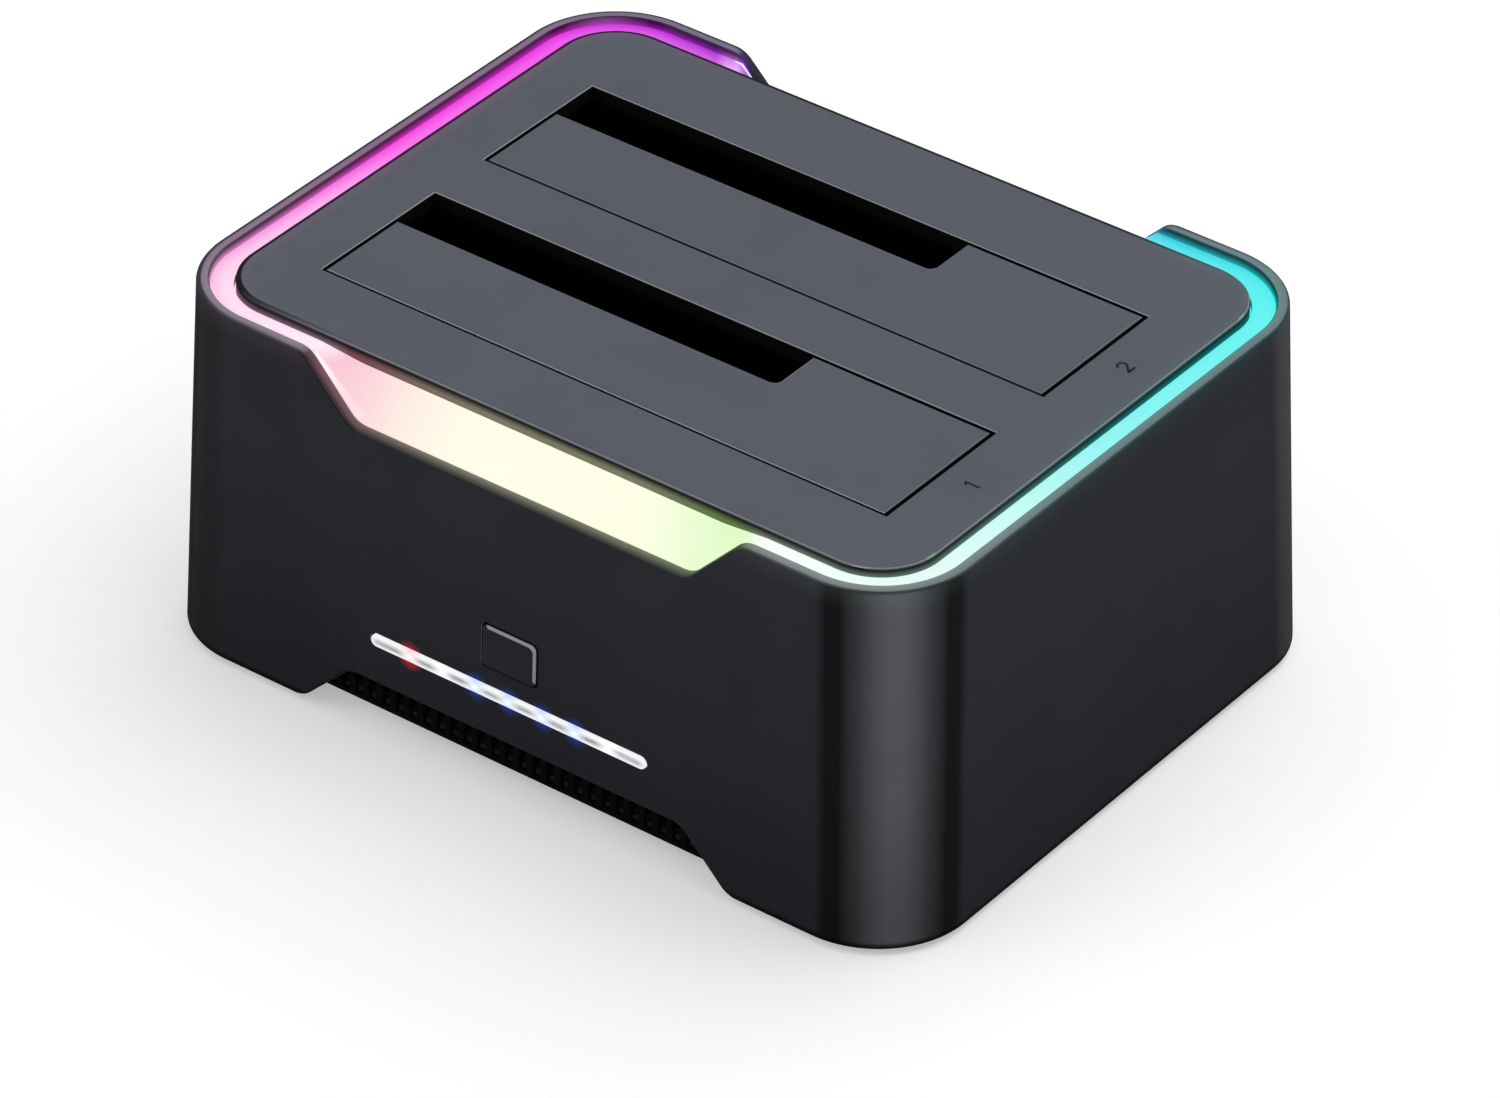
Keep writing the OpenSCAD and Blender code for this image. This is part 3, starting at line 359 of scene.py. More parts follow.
upright = node(tree, "Mix", {0: corner_shade_share, 6: painted_corner_highlight, 7: painted_corner_shade}, data_type="RGBA")
painted_floor_shade = node(tree, "MapRange", {"Value": height, "From Min": 45 * MM, "From Max": 5 * MM, "To Max": 0.35})
painted_contact_shadow = node(tree, "MapRange", {"Value": height, "From Min": (lift + 1.7) * MM,
                                   "From Max": (lift + 0.7) * MM, "To Max": 0.9})
painted_floor_shade = node(tree, "Math", {0: painted_floor_shade, 1: painted_contact_shadow}, operation="MAXIMUM")
upright = node(tree, "Mix", {0: painted_floor_shade, 6: upright, 7: (0, 0, 0, 1)}, data_type="RGBA")
# Painted light on the rim's top where it faces up, and a painted shade line along its far edge.
painted_rim_light = node(tree, "MapRange", {"Value": facing["Z"], "From Min": 0.88, "From Max": 0.995})
high = node(tree, "MapRange", {"Value": height, "From Min": (top_z - 3) * MM, "From Max": (top_z - 0.6) * MM})
outline = node(tree, "MapRange", {"Value": distance, "From Min": (corner_r - 0.85) * MM,
                                  "From Max": (corner_r - 0.6) * MM})
outline = node(tree, "Math", {0: outline, 1: far}, operation="MULTIPLY")
off_line = node(tree, "Math", {0: 1.0, 1: outline}, operation="SUBTRACT")
for part in (high, off_line):
    painted_rim_light = node(tree, "Math", {0: painted_rim_light, 1: part}, operation="MULTIPLY")
tone = node(tree, "Mix", {0: painted_rim_light, 6: upright, 7: linear("#6c6f74")}, data_type="RGBA")
grain_finish(tree, shader, place, tone, grain=0.4, depth=0.004, roughness=0.85, specular=0.05)
# Painted glow: light that the ring spills on the rim, on its inner wall and on the notches.
strip_z = top_z - 1.3  # lit face of the strips beside the plate
upwards = node(tree, "MapRange", {"Value": facing["Z"], "From Min": 0.3, "From Max": 0.65})
beside = node(tree, "MapRange", {"Value": height, "From Min": (top_z - notch_h - 4) * MM,
                                 "From Max": (top_z - notch_h - 2) * MM})
outwards = node(tree, "MapRange", {"Value": distance, "From Min": (inner_r + 0.3) * MM,
                                   "From Max": (corner_r + 0.2) * MM, "To Min": 1, "To Max": 0.15})
spill = node(tree, "MapRange", {"Value": high, "To Min": 0.22, "To Max": 0.14})
front_or_high = node(tree, "MapRange", {"Value": far, "To Min": 1, "To Max": 0})
front_or_high = node(tree, "Math", {0: front_or_high, 1: high}, operation="MAXIMUM")
for part in (upwards, beside, outwards, off_line, front_or_high):
    spill = node(tree, "Math", {0: spill, 1: part}, operation="MULTIPLY")
inside = node(tree, "MapRange", {"Value": distance, "From Min": (inner_r + 0.4) * MM,
                                 "From Max": (inner_r + 0.15) * MM})
above = node(tree, "MapRange", {"Value": height, "From Min": (strip_z - 1.5) * MM,
                                "From Max": (strip_z - 0.5) * MM})
nearer = node(tree, "MapRange", {"Value": height, "From Min": top_z * MM, "From Max": strip_z * MM})
nearer = node(tree, "Math", {0: nearer, 1: 1.7}, operation="POWER")
inner = node(tree, "Math", {0: nearer, 1: 0.55}, operation="MULTIPLY")
for part in (inside, above):
    inner = node(tree, "Math", {0: inner, 1: part}, operation="MULTIPLY")
outer = node(tree, "MapRange", {"Value": height, "From Min": (top_z - 4) * MM, "From Max": top_z * MM,
                                "To Max": 0.014}, interpolation_type="SMOOTHSTEP")
for part in (inner, outer):
    spill = node(tree, "Math", {0: spill, 1: part}, operation="MAXIMUM")
thrown = ring_light(tree, place)[1]
halo = node(tree, "Mix", {0: spill, 6: (0, 0, 0, 1), 7: thrown}, data_type="RGBA")
# Painted glow of the seven lights on the wall beside the indicator bar.
lamp_pitch, lamp_count, halo_r, halo_core = 6.2, 7, 2.7, 0.6
lamp_xs = [panel_x + (k - (lamp_count - 1) / 2) * lamp_pitch for k in range(lamp_count)]
halo_codes = ["#a0142a", "#000000"] + ["#142a78"] * 4 + ["#000000"]
for x, code in zip(lamp_xs, halo_codes):
    lamp_at = on_wall(-1, x, bar_z, [(0, 0, 0)])[0] * MM
    away = node(tree, "VectorMath", {0: place["Object"], 1: lamp_at}, operation="DISTANCE")
    near = node(tree, "MapRange", {"Value": away, "From Min": halo_r * MM, "From Max": halo_core * MM})
    halo = node(tree, "Mix", {0: near, 6: halo, 7: linear(code)}, data_type="RGBA")
feed(shader, {"Emission Color": halo, "Emission Strength": 1})
add_piece("outer_shell_moulding", shell_mesh, black_abs, "station", "shell_plastic", "outer_shell")

# Indicator bar
# An opal polycarbonate light guide with round ends that clips into the front wall from inside; the
# indicator board with its seven small lights is screwed to two posts behind it.
bar_proud, bar_flange, bar_fit, bar_ease = 0.25, 1.0, 0.02, 0.35


def stadium(half_l, half_h):
    """Bar with round ends, or a circle where both halves are the same, as a loop of points."""
    return rounded_rect(half_l, half_h, half_h - hair, steps=8)


bar_bm = bmesh.new()
bar_rings = [(-wall - bar_flange, bar_flange), (-wall - bar_fit, bar_flange), (-wall - bar_fit, 0),
             (bar_fit, 0)]
bar_rings += [(bar_fit + (bar_proud - bar_fit) * s, -bar_ease * (1 - c)) for c, s in quarter(3)[1:]]
loft(bar_bm, [on_wall(-1, bar_x, bar_z, [(u, v, w) for u, v in stadium(bar_l / 2 + g, bar_h / 2 + g)])
              for w, g in bar_rings])
# Opal polycarbonate lit from behind: white along its edges, streaked with grey down the middle where the
# guide is thickest, and bright and tinted over each of the lights.
lit_bar, tree, shader, place = start_material("opal polycarbonate, lit by seven lights")
spot = node(tree, "SeparateXYZ", {0: place["Object"]}).outputs
along = node(tree, "MapRange", {"Value": spot["X"], "From Min": (bar_x - bar_l / 2) * MM,
                                "From Max": (bar_x + bar_l / 2) * MM})
lamp_codes = ["#ffccd0", "#ffffff"] + ["#c4dcff"] * 4 + ["#ffffff"]
white, grey = "#eceef0", "#808285"
edge_stops, core_stops = [(0.0, white)], [(0.0, white), (0.025, grey)]
for x, code in zip(lamp_xs, lamp_codes):
    middle = (x - bar_x) / bar_l + 0.5
    edge_stops += [(middle - 0.04, white), (middle, code), (middle + 0.04, white)]
    core_stops += [(middle - 0.045, grey), (middle, "#ffffff"), (middle + 0.045, grey)]
edge_glow = node(tree, "ValToRGB", {"Fac": along}, stops=edge_stops + [(1.0, white)])
core_glow = node(tree, "ValToRGB", {"Fac": along}, stops=core_stops + [(0.975, grey), (1.0, white)])
streak_l, streak_h = 8, 0.3
long_way = node(tree, "Mapping", {0: place["Object"], "Scale": (1 / (streak_l * MM), 0, 1 / (streak_h * MM))})
streak = node(tree, "TexNoise", {"Vector": long_way, "Scale": 1, "Detail": 1})
across = node(tree, "Math", {0: spot["Z"], 1: bar_z * MM}, operation="SUBTRACT")
across = node(tree, "Math", {0: across}, operation="ABSOLUTE")
across = node(tree, "MapRange", {"Value": across, "From Min": 0.75 * MM, "From Max": 0.1 * MM})
streaked = node(tree, "MapRange", {"Value": streak, "From Min": 0.3, "From Max": 0.6, "To Min": 0.6})
streaked = node(tree, "Math", {0: streaked, 1: across}, operation="MULTIPLY")
glow = node(tree, "Mix", {0: streaked, 6: edge_glow, 7: core_glow}, data_type="RGBA")
feed(shader, {"Base Color": linear("#505254"), "Roughness": 0.3,
              "Emission Color": glow, "Emission Strength": 1})
add_piece("indicator_light_bar", bar_bm, lit_bar, "station", "light_plastic", "indicator_bar")


def moulded(name, code, grain, depth, roughness, specular, metallic=0):
    """A plain moulded, cast or drawn finish in one tone, with the width and depth of its grain in mm."""
    material, tree, shader, place = start_material(name)
    feed(shader, {"Metallic": metallic})
    grain_finish(tree, shader, place, linear(code), grain, depth, roughness, specular)
    return material


def dress(material, *names):
    """Gives CAD nodes that stay as they are a finish."""
    for name in names:
        data = frame["nodes"][name].data
        data.materials.clear()
        data.materials.append(material)


# Green solder mask on glass-fibre board: a glossy green, slightly paler where copper runs under it.
board_green, tree, shader, place = start_material("green solder mask on glass-fibre board")
track_pitch = 5
tracks = node(tree, "TexBrick", {"Vector": place["Object"], "Scale": 1 / (track_pitch * MM),
                                 "Color1": linear("#17492f"), "Color2": linear("#1b5235"),
                                 "Mortar": linear("#2c6b48"), "Mortar Size": 0.03})
feed(shader, {"Base Color": tracks, "Roughness": 0.3})
# White nylon and phosphor: a warm, dull white. Zinc plating: a pale, softly shining metal.
led_white = moulded("white nylon light package with phosphor", "#f0e9cf", 0.5, 0.003, 0.4, 0.4)
zinc_steel = moulded("zinc-plated steel", "#a9abb0", 0.6, 0.003, 0.35, 0.5, metallic=1)
dress(board_green, "indicator_board")
dress(led_white, "indicator_lights")
dress(zinc_steel, "indicator_screws")

# Front button
# A black ABS cap with thin bevels that stands out of the front wall; its acetal plunger presses a small
# switch on the indicator board, whose spring pushes it back. A flat ribbon leads to the main board.
button_proud, button_lip, button_flange, button_play = 0.35, 0.9, 0.8, 0.3
bevel_w, bevel_h, bevel_round, bevel_flat = 0.35, 0.3, 0.03, 0.1
button_gap = panel_fit + 0.1  # drawn a little wider than it is, so that it shows
button_back = wall + button_play + button_lip
button_rings = [(-button_back, button_flange), (button_lip - button_back, button_flange),
                (button_lip - button_back, -button_gap), (button_proud - bevel_h, -button_gap),
                (button_proud - bevel_round, -button_gap - bevel_w),
                (button_proud, -button_gap - bevel_w - bevel_flat)]
cap_r = button_r - 0.1
button_loops = []
for w, g in button_rings:
    loop = rounded_rect(button_w / 2 + g, button_h / 2 + g, cap_r)
    button_loops.append(on_wall(-1, panel_x, bar_z, [(u, v + button_up, w) for u, v in loop]))
button_bm = bmesh.new()
loft(button_bm, button_loops)
# Black ABS with painted bevel highlights: the face is as black as the wall, and the bevels towards the top
# and the right are painted pale, a painted highlight where they catch the light.
highlit_button_abs, tree, shader, place = start_material("black ABS with painted bevel highlights")
facing = node(tree, "SeparateXYZ", {0: place["Normal"]}).outputs
lit_side = node(tree, "Math", {0: facing["X"], 1: facing["Z"]}, operation="ADD")
painted_bevel_highlight = node(tree, "MapRange", {"Value": lit_side, "From Min": 0.25, "From Max": 0.5})
outer = node(tree, "MapRange", {"Value": facing["Y"], "From Min": -0.2, "From Max": -0.4})
painted_bevel_highlight = node(tree, "Math", {0: painted_bevel_highlight, 1: outer}, operation="MULTIPLY")
tone = node(tree, "Mix", {0: painted_bevel_highlight, 6: linear("#2c2d31"), 7: linear("#b0b1b5")}, data_type="RGBA")
grain_finish(tree, shader, place, tone, grain=0.4, depth=0.003, roughness=0.7, specular=0.05)
add_piece("front_button_cap", button_bm, highlit_button_abs, "button", "button_plastic", "front_button")
# Natural acetal: creamy, waxy and smooth. Black nylon: smooth with a low gloss. Grey PVC: pale and soft.
dress(moulded("natural acetal", "#d9d4c8", 0.8, 0.002, 0.35, 0.4), "button_plunger", "ribbon_sockets")
dress(moulded("black nylon, moulded", "#202125", 0.5, 0.003, 0.45, 0.3), "button_switch")
dress(moulded("grey PVC lead", "#c9ccd2", 0.8, 0.004, 0.4, 0.4), "panel_ribbon", "light_lead")

# Light strips and windows
# Opal polycarbonate: two lengths lie on the shell's step round the plate, and a sloping window fills
# each notch. Rows of small lights on white boards under them shade from purple through white to cyan.
plate_w, plate_d = mm_box("top_plate")[1].x, mm_box("top_plate")[1].y
plate_t, band_t, band_lap = 2.5, 2.5, 3
plate_low = top_z - plate_t
band_low = plate_low - band_t
light_gap = rim_w - wall - plate_w
plate_r = corner_r - wall - light_gap
light_fit, light_off, strip_lap = 0.1, 0.2, 1
strip_end, window_end = gap_w / 2 + strip_lap, gap_w / 2 - gap_run
window_drop, window_sink, window_tuck, window_rise = 2, 0.2, 2, 1.3


def light_section(z_in, z_out, low):
    """Section of the light: tongue under the plate, lit face from the plate's edge out to the rim."""
    near, far, ease = light_fit + light_off, light_gap - light_fit, 0.1
    face = [(near, z_in - ease), (near + ease, z_in), (far - ease, z_out), (far, z_out - ease)]
    return [(-band_lap, band_low), (-band_lap, plate_low), (near, plate_low)] + face + [(far, low)]


def strip_loops(side):
    """Sections of a side strip from the front notch round two corners to the back notch."""
    places = [((side * strip_end, -plate_d), (0, -1))]
    for y_side, turns in ((-1, range(270, 179, -5)), (1, range(180, 89, -5))):
        for turn in turns:
            c, s = -side * math.cos(math.radians(turn)), math.sin(math.radians(turn))
            middle = (side * (plate_w - plate_r), y_side * (plate_d - plate_r))
            places.append(((middle[0] + plate_r * c, middle[1] + plate_r * s), (c, s)))
    places.append(((side * strip_end, plate_d), (0, 1)))
    section = light_section(strip_z, strip_z, band_low)
    return [[(p[0] + d[0] * out, p[1] + d[1] * out, z) for out, z in section] for p, d in places]


def window_loops(side):
    """Sections of a window: level with the strips at both ends, down to the notch's edge between."""
    loops = []
    for x in [c for c in columns if abs(c) <= strip_end]:
        blend = min(1, (strip_end - abs(x)) / (strip_end - window_end))
        z_out = min(strip_z, top_z - gap_depth(x, notch_h) - window_sink)
        z_in = strip_z + min(1, blend * window_rise) * (top_z - window_drop - strip_z)
        low = band_low + blend * (top_z - notch_h - window_tuck - band_low)
        loops.append([(x, side * (plate_d + out), z) for out, z in light_section(z_in, z_out, low)])
    return loops


# Opal polycarbonate over coloured lights: it hides the lamps, so the colour runs smoothly round the ring.
# It carries painted shade where the far rim shades it, and a painted highlight, nearly white, along the
# crease at a window's left end.
lit_ring, tree, shader, place = start_material("opal polycarbonate, lit from below")
# Faces that look up, or stand clear of the plate, show the light.
up = node(tree, "SeparateXYZ", {0: place["Normal"]}).outputs["Z"]
upwards = node(tree, "MapRange", {"Value": up, "From Min": 0.1, "From Max": 0.25})
distance = ring_distance(tree, place)
clear = node(tree, "MapRange", {"Value": distance, "From Min": (plate_r + 0.4) * MM,
                                "From Max": (plate_r + 0.6) * MM})
open_face = node(tree, "Math", {0: upwards, 1: clear}, operation="MAXIMUM")
light, thrown = ring_light(tree, place)
# Painted shade of the far rim.
shade = node(tree, "MapRange", {"Value": distance, "From Min": (plate_r + 1.6) * MM,
                                "From Max": (plate_r + 3.8) * MM, "To Max": 0.75})
shade = node(tree, "Math", {0: shade, 1: far_side(tree, place)}, operation="MULTIPLY")
shaded = node(tree, "Mix", {0: shade, 6: light, 7: thrown}, data_type="RGBA")
# Painted white highlight down the crease at the sloping left end of a window.
spot = node(tree, "SeparateXYZ", {0: place["Object"]}).outputs
slope = node(tree, "Math", {0: spot["X"], 1: (window_end + gap_run / 2) * MM}, operation="ADD")
slope = node(tree, "Math", {0: slope}, operation="ABSOLUTE")
crease = node(tree, "MapRange", {"Value": slope, "From Min": (gap_run / 2 + 0.7) * MM,
                                 "From Max": (gap_run / 2 - 0.3) * MM, "To Max": 0.7})
outer = node(tree, "MapRange", {"Value": distance, "From Min": (inner_r - 0.8) * MM,
                                "From Max": (inner_r - 0.5) * MM})
upper = node(tree, "MapRange", {"Value": spot["Z"], "From Min": (top_z - 7) * MM,
                                "From Max": (top_z - 3) * MM, "To Min": 0.3})
for part in (outer, upper):
    crease = node(tree, "Math", {0: crease, 1: part}, operation="MULTIPLY")
shaded = node(tree, "Mix", {0: crease, 6: shaded, 7: (1, 1, 1, 1)}, data_type="RGBA")
shown = node(tree, "Mix", {0: open_face, 6: (0, 0, 0, 1), 7: shaded}, data_type="RGBA")
feed(shader, {"Base Color": linear("#303034"), "Roughness": 0.4, "Specular IOR Level": 0.2,
              "Emission Color": shown, "Emission Strength": 1})
for name, loops, replaced in (("left_strip", strip_loops(-1), "left_light_strip"),
                              ("right_strip", strip_loops(1), "right_light_strip"),
                              ("front_light_window", window_loops(-1), "front_window"),
                              ("rear_light_window", window_loops(1), "rear_window")):
    bm = bmesh.new()
    loft(bm, loops)
    add_piece(name, bm, lit_ring, "station", "light_plastic", replaced)
# White solder mask: an even, softly shining white that sends the light up.
white_board = moulded("white solder mask on glass-fibre board", "#e9e9e4", 0.6, 0.002, 0.35, 0.4)
dress(white_board, "side_light_boards", "window_light_boards")
dress(led_white, "side_lights", "window_lights")

# Top plate
# A flat black ABS moulding sprayed grey on its upper face, with two bay openings, screwed to the bay
# frame from below. Its sides carry painted shade and its eased edges a painted highlight, or painted shade
# along the far edges; the bay numbers are printed on it in black.
bay_l, bay_w, bay_pitch, bay_mid = 104, 26.6, 38.3, -2.1
plate_ease, bay_ease = 0.5, 0.35


def inset(loop, d):
    """Moves each side of an anticlockwise loop inwards by d, or of a clockwise one outwards."""
    moved = []
    for k, p in enumerate(loop):
        p, before, after = Vector(p), Vector(loop[k - 1]), Vector(loop[(k + 1) % len(loop)])
        a, b = (p - before).normalized(), (after - p).normalized()
        left_a, left_b = Vector((-a.y, a.x)), Vector((-b.y, b.x))
        moved.append(p + (left_a + left_b) * d / (1 + left_a.dot(left_b)))
    return moved


def slab(bm, loops, low, high, eases):
    """A flat plate between two heights; the first loop is its outline, the others its holes, all eased."""
    hold, flat = 0.05, 0.25
    tops, bottoms = [], []
    for loop, ease in zip(loops, eases):
        levels = [(0, low), (0, high - ease - hold)]
        levels += [(ease * (1 - c), high - ease * (1 - s)) for c, s in quarter(3)]
        levels += [(ease + flat, high)]
        rings = [[bm.verts.new((p[0], p[1], z)) for p in inset(loop, d)] for d, z in levels]
        for a, b in zip(rings, rings[1:]):
            for i in range(len(a)):
                bm.faces.new((a[i - 1], a[i], b[i], b[i - 1]))
        bottoms.append(rings[0])
        tops.append(rings[-1])
    for face_loops in (bottoms, tops):
        corners = [v for loop in face_loops for v in loop]
        for triangle in tessellate_polygon([[v.co for v in loop] for loop in face_loops]):
            bm.faces.new([corners[i] for i in triangle])


bay_fronts = [bay_mid + (i - 0.5) * bay_pitch - bay_w / 2 for i in (0, 1)]
plate_loops = [rounded_rect(plate_w, plate_d, plate_r, steps=18)]
for front in bay_fronts:
    plate_loops.append([(-bay_l / 2, front), (-bay_l / 2, front + bay_w), (bay_l / 2, front + bay_w),
                        (bay_l / 2, front)])
plate_bm = bmesh.new()
slab(plate_bm, plate_loops, plate_low, top_z, [plate_ease, bay_ease, bay_ease])


def sprayed_grey(name, highlight_behind):
    """Grey paint facing up; painted highlight on front and right edges, others too (1) or painted shade (0).
    """
    material, tree, shader, place = start_material(name)
    facing = node(tree, "SeparateXYZ", {0: place["Normal"]}).outputs
    # Painted shade on the sides, a painted highlight on the eased edges, the plain paint on the face.
    lit_edge_stops = [(0.0, "#020202"), (0.2, "#040405"), (0.45, "#44464b"), (0.7, "#9a9da3"), (0.9, "#9a9da3"),
                    (0.97, "#575a63"), (1.0, "#575a63")]
    highlit_edge_tone = node(tree, "ValToRGB", {"Fac": facing["Z"]}, stops=lit_edge_stops)
    shaded_edge_tone = node(tree, "ValToRGB", {"Fac": facing["Z"]}, stops=[(0.75, "#020202"), (0.98, "#575a63")])
    toward = node(tree, "Math", {0: facing["X"], 1: facing["Y"]}, operation="SUBTRACT")
    toward = node(tree, "MapRange", {"Value": toward, "From Min": -0.15, "From Max": 0.15,
                                     "To Min": highlight_behind})
    tone = node(tree, "Mix", {0: toward, 6: shaded_edge_tone, 7: highlit_edge_tone}, data_type="RGBA")
    grain_finish(tree, shader, place, tone, grain=0.4, depth=0.004, roughness=0.75, specular=0.1, fade=0.06)
    return material, tree, shader, place, facing["Z"]


# Grey spray paint on ABS: an even cool mid grey, dead matt, with a grain drawn at 0.4 mm; the real one is
# 0.1 mm. A painted glow of the ring light tints the last few millimetres of the plate's face, where its
# colour is strong, and brightens its outer sides. A thin black line of painted shade runs along the far
# edges.
plate_paint, tree, shader, place, up = sprayed_grey("grey spray paint on black ABS, painted glow along its edge", 0)
distance = ring_distance(tree, place)
far = far_side(tree, place)
light, thrown = ring_light(tree, place)
# Painted glow on the face, weaker at the front and right, and the painted shade line along the far edges.
vivid = node(tree, "SeparateColor", {0: light}, mode="HSV").outputs[1]  # saturation
face_glow = node(tree, "MapRange", {"Value": distance, "From Min": (plate_r - 4.5) * MM,
                                    "From Max": plate_r * MM})
face_glow = node(tree, "Math", {0: face_glow, 1: 2.6}, operation="POWER")
spot = node(tree, "SeparateXYZ", {0: place["Object"]}).outputs
off_middle = node(tree, "Math", {0: spot["X"]}, operation="ABSOLUTE")
by_strip = node(tree, "MapRange", {"Value": off_middle, "From Min": (strip_end - 5) * MM,
                                   "From Max": (strip_end + 3) * MM})
far_line_shade = node(tree, "MapRange", {"Value": distance, "From Min": (plate_r - 0.95) * MM,
                                 "From Max": (plate_r - 0.75) * MM})
far_line_shade = node(tree, "Math", {0: far_line_shade, 1: far}, operation="MULTIPLY")
within = node(tree, "Math", {0: 1.0, 1: far_line_shade}, operation="SUBTRACT")
weaker = node(tree, "MapRange", {"Value": far, "To Min": 0.35, "To Max": 1})
face_share = 0.13
for part in (vivid, by_strip, within, weaker, face_share):
    face_glow = node(tree, "Math", {0: face_glow, 1: part}, operation="MULTIPLY")
# Painted glow on the outer sides.
side_glow = node(tree, "MapRange", {"Value": up, "From Min": 0.5, "From Max": 0.2})
edge = node(tree, "MapRange", {"Value": distance, "From Min": (plate_r - 0.4) * MM,
                               "From Max": (plate_r - 0.1) * MM, "To Max": 0.2})
deep = node(tree, "MapRange", {"Value": spot["Z"], "From Min": (top_z - 0.5) * MM,
                               "From Max": (top_z - 1.6) * MM})
for part in (edge, deep):
    side_glow = node(tree, "Math", {0: side_glow, 1: part}, operation="MULTIPLY")
glow = node(tree, "Math", {0: face_glow, 1: side_glow}, operation="MAXIMUM")
tint = node(tree, "Mix", {0: glow, 6: (0, 0, 0, 1), 7: thrown}, data_type="RGBA")
painted = shader.inputs["Base Color"].links[0].from_socket
paint_with_line_shade = node(tree, "Mix", {0: far_line_shade, 6: painted, 7: linear("#0a0a0c")}, data_type="RGBA")
feed(shader, {"Base Color": paint_with_line_shade, "Emission Color": tint, "Emission Strength": 1})
add_piece("top_plate_moulding", plate_bm, plate_paint, "station", "plate_plastic", "top_plate")


def stroke(bm, path, width, z, height):
    """A flat printed line of even width along a path of points."""
    sides = [[], []]
    for k, p in enumerate(path):
        d = (Vector(path[min(k + 1, len(path) - 1)]) - Vector(path[max(k - 1, 0)])).normalized()
        for side, sign in zip(sides, (1, -1)):
            side.append(Vector(p) + sign * width / 2 * Vector((-d.y, d.x)))
    outline = sides[0] + sides[1][::-1]
    loft(bm, [[(p[0], p[1], z + h) for p in outline] for h in (0, height)])


digit_h, digit_scale, digit_stroke, ink = 3.5, 0.78, 0.42, 0.02
hook_r, hook_up = 0.95, 2.42
hook = [math.radians(a) for a in range(165, -31, -15)]
hook = [(hook_r * math.cos(a), hook_up + hook_r * math.sin(a)) for a in hook]
digit_paths = {"1": [[(-0.7, 2.7), (0.1, 3.35), (0.1, 0)]],
               "2": [hook + [(-1.0, 0.2)], [(-1.15, 0.18), (1.1, 0.18)]]}
# Black pad-printing ink: a dense dull black with the paint's grain showing through.
black_ink = moulded("black pad-printing ink", "#141518", 0.3, 0.002, 0.6, 0.1)
for digit, middle in (("1", (57.1, -20.95)), ("2", (57.0, 17.2))):
    bm = bmesh.new()
    for path in digit_paths[digit]:
        # The digits read along +Y, with their tops towards -X.
        path = [(middle[0] + (digit_h / 2 - v) * digit_scale, middle[1] + u * digit_scale) for u, v in path]
        stroke(bm, path, digit_stroke, top_z, ink)
    add_piece("bay_number_" + digit, bm, black_ink, "station", "plate_plastic")

# Bay frame
# The two drive wells in one black ABS moulding, hung from the plate by six screws and standing on four
# legs; drawn almost black and dull, as painted shade in the deep wells.
dress(moulded("black ABS, painted shade of the wells", "#030304", 0.6, 0.006, 0.7, 0.02), "bay_frame")
dress(zinc_steel, "plate_screws")

# Bay flaps
# Two L-shaped lids sprayed like the plate, each on a steel pin under it and shut by a torsion spring.
# The short side of the L leaves the slot for a small drive open.
flap_t, flap_ease, flap_seam, front_seam = 2, 0.35, 0.1, 0.35
small_w, small_l, bend_r = 9.6, 71.6, 1.2
arm_w, arm_run, arm_xs = 7, 7, (-40, 0, 40)
knuckle_r, bore_r = 2, 1.05
# Painted highlight on all the flaps' eased edges, and painted shade on their sides.
flap_paint = sprayed_grey("grey spray paint on black ABS", 1)[0]
for name, front in (("front", bay_fronts[0]), ("rear", bay_fronts[1])):
    flap_high = mm_box(name + "_bay_flap")[1]
    hinge = next(j for j in frame["joints"] if j["name"] == name + "_flap_hinge")
    hinge_y, hinge_z = hinge["pos_m"][1] / MM, hinge["pos_m"][2] / MM
    end, rear, low = flap_high.x - flap_seam, flap_high.y - flap_seam, top_z - flap_t
    near, slot_y, slot_x = front + front_seam, front + bay_w - small_w, small_l - bay_l / 2
    bm = bmesh.new()
    bend = [(slot_x - bend_r * (1 - c), slot_y + bend_r * (1 - s)) for c, s in quarter()]
    outline = [(-end, near), (end, near), (end, rear), (slot_x, rear)] + bend + [(-end, slot_y)]
    slab(bm, [outline], low, top_z, [flap_ease])
    arm = [(hinge_y, hinge_z - knuckle_r), (near + arm_run, low), (near, low), (near, hinge_z + knuckle_r),
           (hinge_y, hinge_z + knuckle_r)]
    for x in arm_xs:
        loft(bm, [[(x + s * arm_w / 2, y, z) for y, z in arm] for s in (-1, 1)])
        tube = [(-arm_w / 2, bore_r), (-arm_w / 2, knuckle_r), (arm_w / 2, knuckle_r), (arm_w / 2, bore_r)]
        loft(bm, [[(x + along, hinge_y + u, hinge_z + v) for u, v in stadium(r, r)] for along, r in tube],
             ring=True)
    add_piece(name + "_flap_moulding", bm, flap_paint, name + "_flap", "plate_plastic", name + "_bay_flap")
# Bright drawn steel: grey metal with a soft, slightly uneven gloss.
drawn_steel = moulded("bright drawn steel", "#8a8d93", 0.5, 0.002, 0.28, 0.5, metallic=1)
dress(drawn_steel, "front_hinge_pin", "rear_hinge_pin", "front_flap_spring", "rear_flap_spring")

# Main board
# A green glass-fibre board on four posts, with the two upright drive connectors, chips, coils and
# capacitors soldered to it.
dress(board_green, "main_board")
dress(zinc_steel, "board_screws")
# Black liquid-crystal polymer: smooth and dull, so that the warm, bright gold plating stands out in it.
connector_black = moulded("black liquid-crystal polymer", "#17181a", 0.5, 0.003, 0.4, 0.35)
dress(connector_black, "front_drive_connector", "rear_drive_connector")
contact_gold = moulded("gold-plated phosphor bronze", "#d8b45a", 0.6, 0.002, 0.22, 0.5, metallic=1)
dress(contact_gold, "front_contacts", "rear_contacts")
